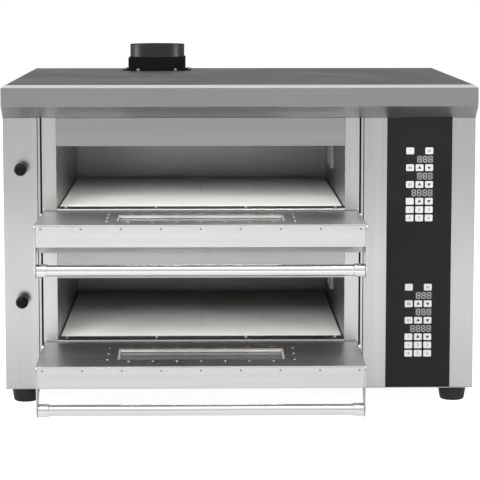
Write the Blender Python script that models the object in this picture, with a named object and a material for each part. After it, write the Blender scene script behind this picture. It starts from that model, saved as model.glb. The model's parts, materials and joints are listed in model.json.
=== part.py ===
"""Two-deck countertop pizza oven with drop-down doors, as separate pieces.

Metres, +Z up. Pieces are modelled with x = 0 in the middle of the body, y = 0 on the body's
front plane (y grows to the rear) and z = 0 on the surface that the feet stand on. The empty
"oven" carries them all and puts the middle of the whole object's box over the origin.
"""
import math

import bmesh
import bpy
from mathutils import Vector

# ---------------------------------------------------------------- fits and sheets
GAP = 0.0003            # between pieces that touch
SHEET = 0.0015          # casing sheet
OVERLAP = 0.0005        # how far a joined shape reaches into its neighbour
RETURN_D = 0.040        # depth of the columns' and jambs' side returns

# ---------------------------------------------------------------- front, left to right
LEFT_COLUMN_W = 0.079
GROOVE_W = 0.011
JAMB_W = 0.033
CHAMBER_W = 0.673
CENTRE_COLUMN_W = 0.054
PANEL_W = 0.1515
RIGHT_COLUMN_W = 0.0545

BODY_W = (LEFT_COLUMN_W + CENTRE_COLUMN_W + PANEL_W + RIGHT_COLUMN_W
          + 2 * GROOVE_W + 2 * JAMB_W + CHAMBER_W)
X_LEFT = -BODY_W / 2
X_RIGHT = BODY_W / 2
X_GROOVE_L = X_LEFT + LEFT_COLUMN_W
X_JAMB_L = X_GROOVE_L + GROOVE_W
X_MOUTH_L = X_JAMB_L + JAMB_W
X_MOUTH_R = X_MOUTH_L + CHAMBER_W
X_JAMB_R = X_MOUTH_R + JAMB_W
X_GROOVE_R = X_JAMB_R + GROOVE_W
X_PANEL_L = X_GROOVE_R + CENTRE_COLUMN_W
X_PANEL_R = X_PANEL_L + PANEL_W
X_CHAMBER = (X_MOUTH_L + X_MOUTH_R) / 2

# ---------------------------------------------------------------- front to rear
BODY_D = 0.820
CHAMBER_D = 0.757       # rear wall of the chambers
THRESHOLD_D = 0.0476
STONE_D = 0.658

# ---------------------------------------------------------------- doors
DOOR_T = 0.050
DOOR_LAP_X = 0.02975    # door over each jamb
DOOR_LAP_TOP = 0.0551   # closed door over the lintel
DOOR_STEP = 0.0054      # open door's inner face below the stone
AXIS_IN = 0.015         # hinge axis under the inner face
AXIS_OUT = 0.016        # hinge axis in front of the body
DOOR_TAIL = 0.0135      # door below its axis
DOOR_CORNER = 0.0049    # its lower inner corner cut back by this height
DOOR_HOLLOW_UP = 0.008  # hollow from the door's foot
PANEL_UP = 0.010        # inner panel from the door's foot
PIN_OUT = 0.009         # pin past the door's side
DROOP = {"upper": 0.8, "lower": 3.0}    # open doors below level, degrees
WINDOW_W = 0.381
WINDOW_H = 0.1025
WINDOW_FROM_AXIS = 0.0535
WINDOW_WALL = 0.002
GLASS_T = 0.006
GLASS_RECESS = 0.0075
GLASS_REBATE = 0.010    # pane past its opening
INNER_PANEL_T = 0.002
PIN_R = 0.005
PIN_CLEAR = 0.0003
BRACKET_T = 0.0027
BRACKET_FROM_AXIS = 0.059
BRACKET_LEG_W = 0.066
BRACKET_END_R = 0.0175
BRACKET_SET_IN = 0.001  # bracket's rear edge from the inner face
BRACKET_CORNER_R = 0.010
HANDLE_R = 0.0125
HANDLE_WALL = 0.0015
HANDLE_OUT = 0.055      # handle's centre from the door's outer face
HANDLE_FROM_TOP = 0.018
FERRULE_R = 0.01475
FERRULE_L = 0.024
FERRULE_EDGE = 0.001
LUG_R = 0.012           # hinge lugs on the jambs
LUG_INTO_JAMB = 0.001
LUG_OUT = 0.004
DRILL = 0.010           # either way from the face that a hole is drilled through

# ---------------------------------------------------------------- heights
FOOT_H = 0.0345
STONE_ABOVE_BASE = 0.1175
MOUTH_H = 0.1465        # stone to lintel
UPPER_LINTEL_H = 0.066
SILL_H = 0.0397
SILL_D = 0.035
SILL_PAST_JAMB = 0.007
DOOR_TO_SILL = 0.009    # closed lower door under the middle sill
SWING_TO_SILL = 0.0018  # swinging door's corner over its sill
LINTEL_RETURN = 0.022

AXIS_BELOW_STONE = DOOR_STEP + AXIS_IN
DOOR_UP = MOUTH_H + AXIS_BELOW_STONE + DOOR_LAP_TOP     # door above its axis
DOOR_OUTER_Y = AXIS_IN - DOOR_T                         # outer face, closed door's own frame
SWING_R = math.hypot(DOOR_TAIL, DOOR_OUTER_Y)
DECK_PITCH = DOOR_UP + DOOR_TO_SILL + SILL_H + SWING_TO_SILL + SWING_R
STONE_Z = {"lower": FOOT_H + STONE_ABOVE_BASE,
           "upper": FOOT_H + STONE_ABOVE_BASE + DECK_PITCH}
SILL_BELOW_STONE = AXIS_BELOW_STONE + SWING_R + SWING_TO_SILL
Z_BASE = FOOT_H
Z_FLOOR = Z_BASE + SHEET + GAP                          # on the base pan
Z_FACE_TOP = STONE_Z["upper"] + MOUTH_H + UPPER_LINTEL_H
DOOR_W = CHAMBER_W + 2 * DOOR_LAP_X
HANDLE_Y = DOOR_OUTER_Y - HANDLE_OUT
HANDLE_Z = DOOR_UP - HANDLE_FROM_TOP

# ---------------------------------------------------------------- hood
NOSE_D = 0.040
SLANT_H = 0.0288
NOSE_H = 0.0428
TOP_BEND_H = 0.0063
TOP_BEND_D = 0.0108
HOOD_FLANGE = RETURN_D
Z_NOSE = Z_FACE_TOP + SLANT_H
Z_TOP = Z_NOSE + NOSE_H + TOP_BEND_H

# ---------------------------------------------------------------- chambers
STONE_T = 0.018
STONE_SIDE_GAP = 0.0035
FLOOR_BELOW_STONE = 0.050
LIP_BELOW_RAIL = 0.001  # liner's front edge under the stone rails
CEILING_ABOVE_MOUTH = 0.0315
RAIL_W = 0.018
RAIL_T = 0.005
ELEMENT_R = 0.004
ELEMENT_RUNS = 6
ELEMENT_PITCH = 0.116
ELEMENT_FIRST_Y = 0.075
ELEMENT_BELOW_STONE = 0.036
ELEMENT_BELOW_CEILING = 0.012
ELEMENT_HOLE_CLEAR = 0.0012
ELEMENT_TAIL = 0.016
ELEMENT_FROM_WALL = 0.012
LAMP_OUT = 0.0104
LAMP_Y = 0.389
LAMP_D = 0.102
LAMP_ABOVE_STONE = 0.056
LAMP_H = 0.080
LAMP_CHAMFER = 0.003

# ---------------------------------------------------------------- steam vents and flue
KNOB_X = X_LEFT + 0.043
KNOB_R = 0.015
KNOB_OUT = 0.035        # ball's centre in front of the body
KNOB_NECK_R = 0.0075
KNOB_BORE_D = 0.012
KNOB_NECK_L = 0.006
ARM_T = 0.008           # arm from the rod to the gate
ARM_HALF_H = 0.008
ARM_TO_RISER = 0.015
ARM_PAST_ROD = 0.004
GATE_BEFORE_ARM = 0.006
ROD_R = 0.004
ROD_ABOVE_STONE = 0.0953
VENT_Y = 0.680
VENT_D = 0.055
VENT_H = 0.040
GATE_T = 0.002
GATE_LAP = 0.007
GATE_PLAY = 0.0016      # gate to the chamber wall and to the riser
RISER_Y = 0.655
RISER_D = 0.150
RISER_W = 0.109
RISER_BELOW_ROD = 0.040
PLENUM_H = 0.056
PLENUM_BELOW_TOP = 0.004
FLUE_X = X_LEFT + 0.342
FLUE_R = 0.0725
FLUE_WALL = 0.002
FLUE_TUBE_H = 0.034
FLUE_BOX_W = 0.150
FLUE_BOX_H = 0.034
FLUE_FLANGE = 0.015
FLANGE_SETBACK = 0.002
FLUE_BORE_R = 0.060

# ---------------------------------------------------------------- feet, electrics
FOOT_TOP_R = 0.033
FOOT_END_R = 0.02875
FOOT_INSET = 0.043
FOOT_CHAMFER = 0.002
KEYPAD_W = 0.064
KEYPAD_T = 0.0006
KEY_PITCH_Z = 0.0197
KEY_ROWS = 9
KEYPAD_EDGE = 0.0105
KEYS_ABOVE_STONE = {"upper": 0.1344, "lower": 0.123}
KEYS_FROM_PANEL = 0.0758
GLAND_X = X_RIGHT - 0.090
GLAND_Z = 0.120
GLAND_HOLE_R = 0.0115
GLAND_OUT = 0.024
GLAND_IN = 0.012
GLAND_BORE_R = 0.0065
GLAND_NUT_R = 0.015
GLAND_NUT_L = 0.009
GLAND_CAP = ((0.0125, 0.011), (0.0110, 0.022), (0.0095, GLAND_OUT))    # radius, distance
LOUVRES = 8
LOUVRE_PITCH = 0.022
LOUVRE_L = 0.110
LOUVRE_H = 0.006
LOUVRES_BELOW_FACE = 0.040
LOUVRES_FROM_REAR = 0.080
LOUVRES_FROM_PANEL = 0.020
PLATE_FROM_GROOVE = 0.012
PLATE_FRONT_GAP = 0.005
PLATE_REAR_GAP = 0.020
PLATE_BELOW_FACE = 0.015
CONTACTOR_YS = (0.400, 0.460, 0.520)
CONTACTOR_W = 0.046
CONTACTOR_OUT = 0.060
CONTACTOR_H = 0.080
CONTACTOR_UP = 0.100    # above the lower stone
TERMINAL_W = 0.090
TERMINAL_H = 0.020
TERMINAL_Y = (0.695, 0.745)
POSTS = 5
POST_PITCH = 0.018
POST_W = 0.010
POST_UP = 0.014
POST_Y = (0.700, 0.740)
FIRST_POST = 0.040
BOARD_W = 0.100
BOARD_T = 0.0016
BOARD_GAP = 0.004       # behind the control panel's returns
BOARD_UP = 0.140        # past the upper stone
RELAYS = 3
RELAY_X = (0.030, 0.010)    # left of the board's middle
RELAY_OUT = 0.018
RELAY_UP = 0.020
RELAY_H = 0.024
RELAY_PITCH = 0.030
INSULATION_GAP = 0.003

ROUND_STEPS = 20
REACH = {d: DOOR_UP * math.cos(math.radians(a)) + AXIS_IN * math.sin(math.radians(a))
         for d, a in DROOP.items()}                     # open door in front of its axis
FRONT_Y = -AXIS_OUT - max(REACH.values())
REAR_Y = BODY_D + GLAND_OUT
DECKS = ("upper", "lower")

STEEL = ((0.62, 0.62, 0.61), 0.35, 1.0)
DARK_STEEL = ((0.30, 0.30, 0.30), 0.40, 1.0)
CHROME = ((0.80, 0.80, 0.80), 0.12, 1.0)
BLACK_PAINT = ((0.02, 0.02, 0.02), 0.40, 0.0)
BLACK_PLASTIC = ((0.02, 0.02, 0.02), 0.25, 0.0)
STONE = ((0.80, 0.79, 0.76), 0.85, 0.0)
WOOL = ((0.75, 0.72, 0.60), 0.95, 0.0)
GLASS = ((0.25, 0.27, 0.27), 0.05, 0.0)
BOARD = ((0.05, 0.25, 0.10), 0.50, 0.0)
ELEMENT = ((0.25, 0.24, 0.22), 0.50, 1.0)


# ---------------------------------------------------------------- building blocks
def clear_scene():
    for old in list(bpy.data.objects):
        bpy.data.objects.remove(old, do_unlink=True)


def empty(name, location=(0, 0, 0), turn=0.0, parent=None):
    frame = bpy.data.objects.new(name, None)
    bpy.context.scene.collection.objects.link(frame)
    frame.location = location
    frame.rotation_euler.x = turn
    frame.parent = parent
    return frame


def boxes(*extents):
    """One mesh with a box for each ((x0, x1), (y0, y1), (z0, z1))."""
    bm = bmesh.new()
    for xs, ys, zs in extents:
        made = bmesh.ops.create_cube(bm, size=1.0)["verts"]
        for vert in made:
            vert.co = Vector((xs[vert.co.x > 0], ys[vert.co.y > 0], zs[vert.co.z > 0]))
    return bm


def prism(outline, along, lo, hi):
    """An outline of two coordinates, in X, Y, Z order, extruded from lo to hi along the third."""
    bm = bmesh.new()
    put = {"X": lambda a, b: (lo, a, b), "Y": lambda a, b: (a, lo, b), "Z": lambda a, b: (a, b, lo)}
    face = bm.faces.new([bm.verts.new(put[along](a, b)) for a, b in outline])
    step = Vector((along == "X", along == "Y", along == "Z")) * (hi - lo)
    swept = bmesh.ops.extrude_face_region(bm, geom=[face])["geom"]
    bmesh.ops.translate(bm, vec=step, verts=[g for g in swept if isinstance(g, bmesh.types.BMVert)])
    bmesh.ops.recalc_face_normals(bm, faces=bm.faces)
    return bm


def turned(profile, along, centre, closed=False, steps=ROUND_STEPS):
    """A profile of (radius, distance) turned about a line through centre along X, Y or Z."""
    axis = Vector((along == "X", along == "Y", along == "Z"))
    side = Vector((along == "Y", along == "Z", along == "X"))
    bm = bmesh.new()
    verts = [bm.verts.new(Vector(centre) + side * r + axis * a) for r, a in profile]
    edges = [bm.edges.new(pair) for pair in zip(verts, verts[1:])]
    if closed:
        edges.append(bm.edges.new((verts[-1], verts[0])))
    bmesh.ops.spin(bm, geom=verts + edges, cent=centre, axis=axis, angle=2 * math.pi,
                   steps=steps, use_merge=True)
    bmesh.ops.remove_doubles(bm, verts=bm.verts, dist=1e-6)
    bmesh.ops.recalc_face_normals(bm, faces=bm.faces)
    return bm


def rod(along, centre, radius, lo, hi, steps=ROUND_STEPS):
    return turned([(0, lo), (radius, lo), (radius, hi), (0, hi)], along, centre, steps=steps)


def arc(cx, cy, radius, start, end, steps):
    """Points of a round stretch, with start and end in degrees."""
    turns = [math.radians(start + (end - start) * i / steps) for i in range(steps + 1)]
    return [(cx + radius * math.cos(a), cy + radius * math.sin(a)) for a in turns]


def material(name, look):
    colour, roughness, metallic = look
    made = bpy.data.materials.new(name)
    made.use_nodes = True
    shader = made.node_tree.nodes["Principled BSDF"]
    shader.inputs["Base Color"].default_value = (*colour, 1)
    shader.inputs["Roughness"].default_value = roughness
    shader.inputs["Metallic"].default_value = metallic
    return made


def mesh_object(bm, name, parent, recentre):
    """An object with its own origin: at its parent's, or in the middle of the piece."""
    centre = Vector((0, 0, 0))
    if recentre:
        corners = [Vector(tuple(pick(v.co[i] for v in bm.verts) for i in range(3)))
                   for pick in (min, max)]
        centre = (corners[0] + corners[1]) / 2
        bmesh.ops.translate(bm, vec=-centre, verts=bm.verts)
    mesh = bpy.data.meshes.new(name)
    bm.to_mesh(mesh)
    bm.free()
    piece = bpy.data.objects.new(name, mesh)
    bpy.context.scene.collection.objects.link(piece)
    piece.parent = parent
    piece.location = centre
    return piece


def piece_of(bm, name, look, parent, hollow=(), joined=(), cut=(), smooth=False, recentre=True):
    """A named piece: a base shape, hollowed, then shapes joined onto it and cut out of it."""
    made = mesh_object(bm, name, parent, recentre)
    made.data.materials.append(material(name, look))
    if smooth:
        made.data.shade_smooth()
        made.data.set_sharp_from_angle(angle=math.radians(35))
    steps = [("DIFFERENCE", shape) for shape in hollow]
    steps += [("UNION", shape) for shape in joined]
    steps += [("DIFFERENCE", shape) for shape in cut]
    for number, (operation, shape) in enumerate(steps):
        tool = mesh_object(shape, f"tool_{name}_{number}", parent, recentre)
        tool.hide_render = True
        tool.display_type = "WIRE"
        step = made.modifiers.new(f"{operation.lower()}_{number}", "BOOLEAN")
        step.operation = operation
        step.object = tool
    return made


# ---------------------------------------------------------------- casing
def add_feet(oven):
    top = FOOT_H - GAP
    profile = [(0, 0), (FOOT_END_R - FOOT_CHAMFER, 0), (FOOT_END_R, FOOT_CHAMFER),
               (FOOT_TOP_R, top), (0, top)]
    for side, x in (("left", X_LEFT + FOOT_INSET), ("right", X_RIGHT - FOOT_INSET)):
        for end, y in (("front", FOOT_INSET), ("rear", BODY_D - FOOT_INSET)):
            piece_of(turned(profile, "Z", (x, y, 0)), f"foot_{end}_{side}", BLACK_PLASTIC, oven,
                     smooth=True)


def louvre_cuts(axis_lo, axis_hi, across_lo, z_lo, sideways):
    """Rows of slots through a sheet that spans axis_lo to axis_hi."""
    cuts = []
    for row in range(LOUVRES):
        z = z_lo + row * LOUVRE_PITCH
        across = (across_lo, across_lo + LOUVRE_L)
        through = (axis_lo - SHEET, axis_hi + SHEET)
        extent = (through, across) if sideways else (across, through)
        cuts.append((*extent, (z, z + LOUVRE_H)))
    return boxes(*cuts)


def add_casing(oven):
    rear_y = BODY_D - SHEET
    side_top = Z_NOSE - GAP
    piece_of(boxes(((X_LEFT, X_RIGHT), (0, rear_y - GAP), (Z_BASE, Z_BASE + SHEET))),
             "base_pan", STEEL, oven)
    side_y = (RETURN_D + GAP, rear_y - GAP)
    piece_of(boxes(((X_LEFT, X_LEFT + SHEET), side_y, (Z_FLOOR, side_top))),
             "left_side_panel", STEEL, oven)
    louvre_z = Z_FACE_TOP - LOUVRES * LOUVRE_PITCH - LOUVRES_BELOW_FACE
    piece_of(boxes(((X_RIGHT - SHEET, X_RIGHT), side_y, (Z_FLOOR, side_top))),
             "right_side_panel", STEEL, oven,
             cut=[louvre_cuts(X_RIGHT - SHEET, X_RIGHT, BODY_D - LOUVRES_FROM_REAR - LOUVRE_L,
                              louvre_z, True)])
    piece_of(boxes(((X_LEFT, X_RIGHT), (rear_y, BODY_D), (Z_BASE, side_top))),
             "rear_cover", STEEL, oven,
             cut=[louvre_cuts(rear_y, BODY_D, X_PANEL_L + LOUVRES_FROM_PANEL, louvre_z, False),
                  rod("Y", (GLAND_X, BODY_D, GLAND_Z), GLAND_HOLE_R, -2 * SHEET, SHEET)])


def hood_shape(inset):
    """The hood's outside, or with an inset of one sheet the space under it."""
    slope = SLANT_H / NOSE_D
    drop = inset * math.hypot(1, slope)
    front_y = inset - NOSE_D
    foot_z = Z_FACE_TOP + inset
    nose_z = Z_NOSE + drop - slope * inset
    slant_end_y = (drop - inset) / slope
    outline = [(front_y, nose_z), (slant_end_y, foot_z)]
    if inset:
        outline.append((BODY_D - inset, foot_z))
    else:
        outline += [(HOOD_FLANGE, foot_z), (HOOD_FLANGE, Z_NOSE), (BODY_D, Z_NOSE)]
    bend_z = Z_NOSE + NOSE_H - inset
    outline += [(BODY_D - inset, bend_z), (front_y, bend_z)]
    bm = prism(outline, "X", X_LEFT + inset, X_RIGHT - inset)
    bm.faces.ensure_lookup_table()
    top = max(bm.faces, key=lambda f: f.calc_center_median().z)
    bmesh.ops.inset_region(bm, faces=[top], thickness=TOP_BEND_D, use_even_offset=True)
    bmesh.ops.translate(bm, vec=(0, 0, TOP_BEND_H), verts=top.verts)
    return bm


def add_hood(oven):
    flue_y = RISER_Y + RISER_D / 2
    piece_of(hood_shape(0), "top_cover", STEEL, oven,
             cut=[hood_shape(SHEET),
                  rod("Z", (FLUE_X, flue_y, Z_TOP), FLUE_BORE_R, -2 * DRILL, 2 * DRILL)])


def channel(x_lo, x_hi, depth, left=True, right=True):
    """A folded front face with a return on either side, as an outline in x and y."""
    outline = [(x_lo, 0), (x_hi, 0)]
    if right:
        outline += [(x_hi, depth), (x_hi - SHEET, depth)]
    outline.append((x_hi - SHEET if right else x_hi, SHEET))
    outline.append((x_lo + SHEET if left else x_lo, SHEET))
    if left:
        outline += [(x_lo + SHEET, depth), (x_lo, depth)]
    return outline


def add_front(oven):
    heights = (Z_FLOOR, Z_FACE_TOP - GAP)
    holes = [rod("Y", (KNOB_X, 0, STONE_Z[d] + ROD_ABOVE_STONE), ROD_R + PIN_CLEAR, -DRILL, DRILL)
             for d in DECKS]
    piece_of(prism(channel(X_LEFT, X_GROOVE_L, RETURN_D), "Z", *heights),
             "left_column", STEEL, oven, cut=holes)
    piece_of(prism(channel(X_GROOVE_R, X_PANEL_L, RETURN_D), "Z", *heights),
             "centre_column", STEEL, oven)
    piece_of(prism(channel(X_PANEL_R, X_RIGHT, RETURN_D), "Z", *heights),
             "right_column", STEEL, oven)
    piece_of(prism(channel(X_PANEL_L + GAP, X_PANEL_R - GAP, RETURN_D / 2), "Z", *heights),
             "control_panel", BLACK_PAINT, oven)


def hinge_lug(x_lo, x_hi, axis_z):
    nose = arc(-AXIS_OUT, axis_z, LUG_R, 90, 270, 6)
    rear = RETURN_D - OVERLAP
    outline = [(rear, axis_z - LUG_R), (rear, axis_z + LUG_R), *nose]
    return prism(outline, "X", x_lo, x_hi)


def add_jambs(oven):
    for side, x_lo, x_hi in (("left", X_JAMB_L, X_MOUTH_L), ("right", X_MOUTH_R, X_JAMB_R)):
        is_left = side == "left"
        edge = x_lo if is_left else x_hi
        out, into = (-LUG_OUT, LUG_INTO_JAMB) if is_left else (LUG_OUT, -LUG_INTO_JAMB)
        lug_x = sorted((edge + out, edge + into))
        outline = channel(x_lo, x_hi, RETURN_D, left=is_left, right=not is_left)
        axes = [STONE_Z[d] - AXIS_BELOW_STONE for d in DECKS]
        piece_of(prism(outline, "Z", Z_FLOOR, Z_FACE_TOP - GAP), f"{side}_jamb", STEEL, oven,
                 joined=[hinge_lug(*lug_x, z) for z in axes],
                 cut=[rod("X", (edge, -AXIS_OUT, z), PIN_R + PIN_CLEAR, -DRILL, DRILL) for z in axes])


def lintel_plate(z_lo, z_hi):
    """A front plate across the mouth with a return along its lower edge."""
    outline = [(0, z_lo), (LINTEL_RETURN, z_lo), (LINTEL_RETURN, z_lo + SHEET),
               (SHEET, z_lo + SHEET), (SHEET, z_hi), (0, z_hi)]
    return prism(outline, "X", X_MOUTH_L + GAP, X_MOUTH_R - GAP)


def add_silled_plate(oven, name, z_lo, sill_top):
    """A plate with the box-shaped sill that the open door rests over."""
    sill_x = (X_JAMB_L - SILL_PAST_JAMB, X_JAMB_R + SILL_PAST_JAMB)
    sill_z = (sill_top - SILL_H, sill_top)
    sill = boxes((sill_x, (-SILL_D, -GAP), sill_z))
    inside = boxes(((sill_x[0] + SHEET, sill_x[1] - SHEET), (SHEET - SILL_D, SHEET),
                    (sill_z[0] + SHEET, sill_z[1] - SHEET)))
    ribs = boxes(*[((x - SHEET, x + SHEET), (OVERLAP - SILL_D, OVERLAP),
                    (sill_z[0] + OVERLAP, sill_z[1] - OVERLAP))
                   for x in (X_MOUTH_L + JAMB_W, X_CHAMBER, X_MOUTH_R - JAMB_W)])
    piece_of(sill, name, STEEL, oven, hollow=[inside], joined=[ribs, lintel_plate(z_lo, sill_top)])


def add_lintels(oven):
    upper_mouth_top = STONE_Z["upper"] + MOUTH_H
    piece_of(lintel_plate(upper_mouth_top, Z_FACE_TOP - GAP), "upper_lintel", STEEL, oven)
    add_silled_plate(oven, "middle_lintel", STONE_Z["lower"] + MOUTH_H,
                     STONE_Z["upper"] - SILL_BELOW_STONE)
    add_silled_plate(oven, "plinth", Z_FLOOR, STONE_Z["lower"] - SILL_BELOW_STONE)


# ---------------------------------------------------------------- one deck
def add_threshold(oven, deck):
    top = STONE_Z[deck]
    low = top - SILL_BELOW_STONE + GAP
    outline = [(0, low), (SHEET, low), (SHEET, top - SHEET), (THRESHOLD_D, top - SHEET),
               (THRESHOLD_D, top), (0, top)]
    piece_of(prism(outline, "X", X_MOUTH_L + GAP, X_MOUTH_R - GAP), f"{deck}_threshold", STEEL,
             oven)


def add_liner(oven, deck):
    front, rear = SHEET + GAP, CHAMBER_D
    floor_z = STONE_Z[deck] - FLOOR_BELOW_STONE
    ceiling_z = STONE_Z[deck] + MOUTH_H + CEILING_ABOVE_MOUTH
    rail_top = STONE_Z[deck] - STONE_T - GAP
    rail_z = (rail_top - RAIL_T, rail_top)
    front_lip = rail_top - LIP_BELOW_RAIL
    shell = boxes(((X_MOUTH_L - SHEET, X_MOUTH_R + SHEET), (front, rear + SHEET),
                   (floor_z - SHEET, ceiling_z + SHEET)))
    inside = prism([(front - SHEET, front_lip), (front - SHEET, ceiling_z), (rear, ceiling_z),
                    (rear, floor_z), (front + SHEET, floor_z), (front + SHEET, front_lip)],
                   "X", X_MOUTH_L, X_MOUTH_R)
    rail_y = (front + OVERLAP, rear + OVERLAP)
    rails = boxes(((X_MOUTH_L - OVERLAP, X_MOUTH_L + RAIL_W), rail_y, rail_z),
                  ((X_CHAMBER - RAIL_W / 2, X_CHAMBER + RAIL_W / 2), rail_y, rail_z),
                  ((X_MOUTH_R - RAIL_W, X_MOUTH_R + OVERLAP), rail_y, rail_z))
    vent_z = STONE_Z[deck] + ROD_ABOVE_STONE - VENT_H / 2
    vent = boxes(((X_MOUTH_L - 2 * SHEET, X_MOUTH_L + SHEET), (VENT_Y, VENT_Y + VENT_D),
                  (vent_z, vent_z + VENT_H)))
    ends = [rod("X", (X_MOUTH_R, y, z), ELEMENT_R + ELEMENT_HOLE_CLEAR, -SHEET, 2 * SHEET, steps=12)
            for z in element_heights(deck).values()
            for y in (ELEMENT_FIRST_Y, ELEMENT_FIRST_Y + (ELEMENT_RUNS - 1) * ELEMENT_PITCH)]
    piece_of(shell, f"{deck}_chamber_liner", DARK_STEEL, oven, hollow=[inside], joined=[rails],
             cut=[vent, *ends])


def add_stones(oven, deck):
    top = STONE_Z[deck]
    front = THRESHOLD_D + GAP
    for side, xs in (("left", (X_MOUTH_L + STONE_SIDE_GAP, X_CHAMBER - GAP / 2)),
                     ("right", (X_CHAMBER + GAP / 2, X_MOUTH_R - STONE_SIDE_GAP))):
        piece_of(boxes((xs, (front, front + STONE_D), (top - STONE_T, top))),
                 f"{deck}_stone_{side}", STONE, oven)


def element_heights(deck):
    ceiling_z = STONE_Z[deck] + MOUTH_H + CEILING_ABOVE_MOUTH
    return {"top": ceiling_z - ELEMENT_BELOW_CEILING, "bottom": STONE_Z[deck] - ELEMENT_BELOW_STONE}


def element_path():
    """Runs across the chamber joined by half turns, with both ends out through the right wall."""
    radius = ELEMENT_PITCH / 2
    margin = ELEMENT_FROM_WALL + radius
    left, right = X_MOUTH_L + margin, X_MOUTH_R - margin
    points = [(X_MOUTH_R + ELEMENT_TAIL, ELEMENT_FIRST_Y)]
    for run in range(ELEMENT_RUNS - 1):
        middle_y = ELEMENT_FIRST_Y + (run + 0.5) * ELEMENT_PITCH
        if run % 2 == 0:
            points += arc(left, middle_y, radius, 270, 90, 6)
        else:
            points += arc(right, middle_y, radius, -90, 90, 6)
    points.append((X_MOUTH_R + ELEMENT_TAIL, ELEMENT_FIRST_Y + (ELEMENT_RUNS - 1) * ELEMENT_PITCH))
    return points


def add_elements(oven, deck):
    points = element_path()
    for place, z in element_heights(deck).items():
        name = f"{deck}_{place}_element"
        line = bpy.data.curves.new(name, "CURVE")
        line.dimensions = "3D"
        line.bevel_depth = ELEMENT_R
        line.bevel_resolution = 2
        line.use_fill_caps = True
        spline = line.splines.new("POLY")
        spline.points.add(len(points) - 1)
        for point, (x, y) in zip(spline.points, points):
            point.co = (x, y, 0, 1)
        line.materials.append(material(name, ELEMENT))
        tube = bpy.data.objects.new(name, line)
        bpy.context.scene.collection.objects.link(tube)
        tube.parent = oven
        tube.location = (0, 0, z)


def add_lamp(oven, deck):
    low = STONE_Z[deck] + LAMP_ABOVE_STONE
    wall_x = X_MOUTH_R - GAP
    face_x = wall_x - LAMP_OUT
    front, rear = LAMP_Y, LAMP_Y + LAMP_D
    outline = [(face_x, front + LAMP_CHAMFER), (face_x + LAMP_CHAMFER, front), (wall_x, front),
               (wall_x, rear), (face_x + LAMP_CHAMFER, rear), (face_x, rear - LAMP_CHAMFER)]
    piece_of(prism(outline, "Z", low, low + LAMP_H), f"{deck}_lamp_housing", STEEL, oven)


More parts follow.
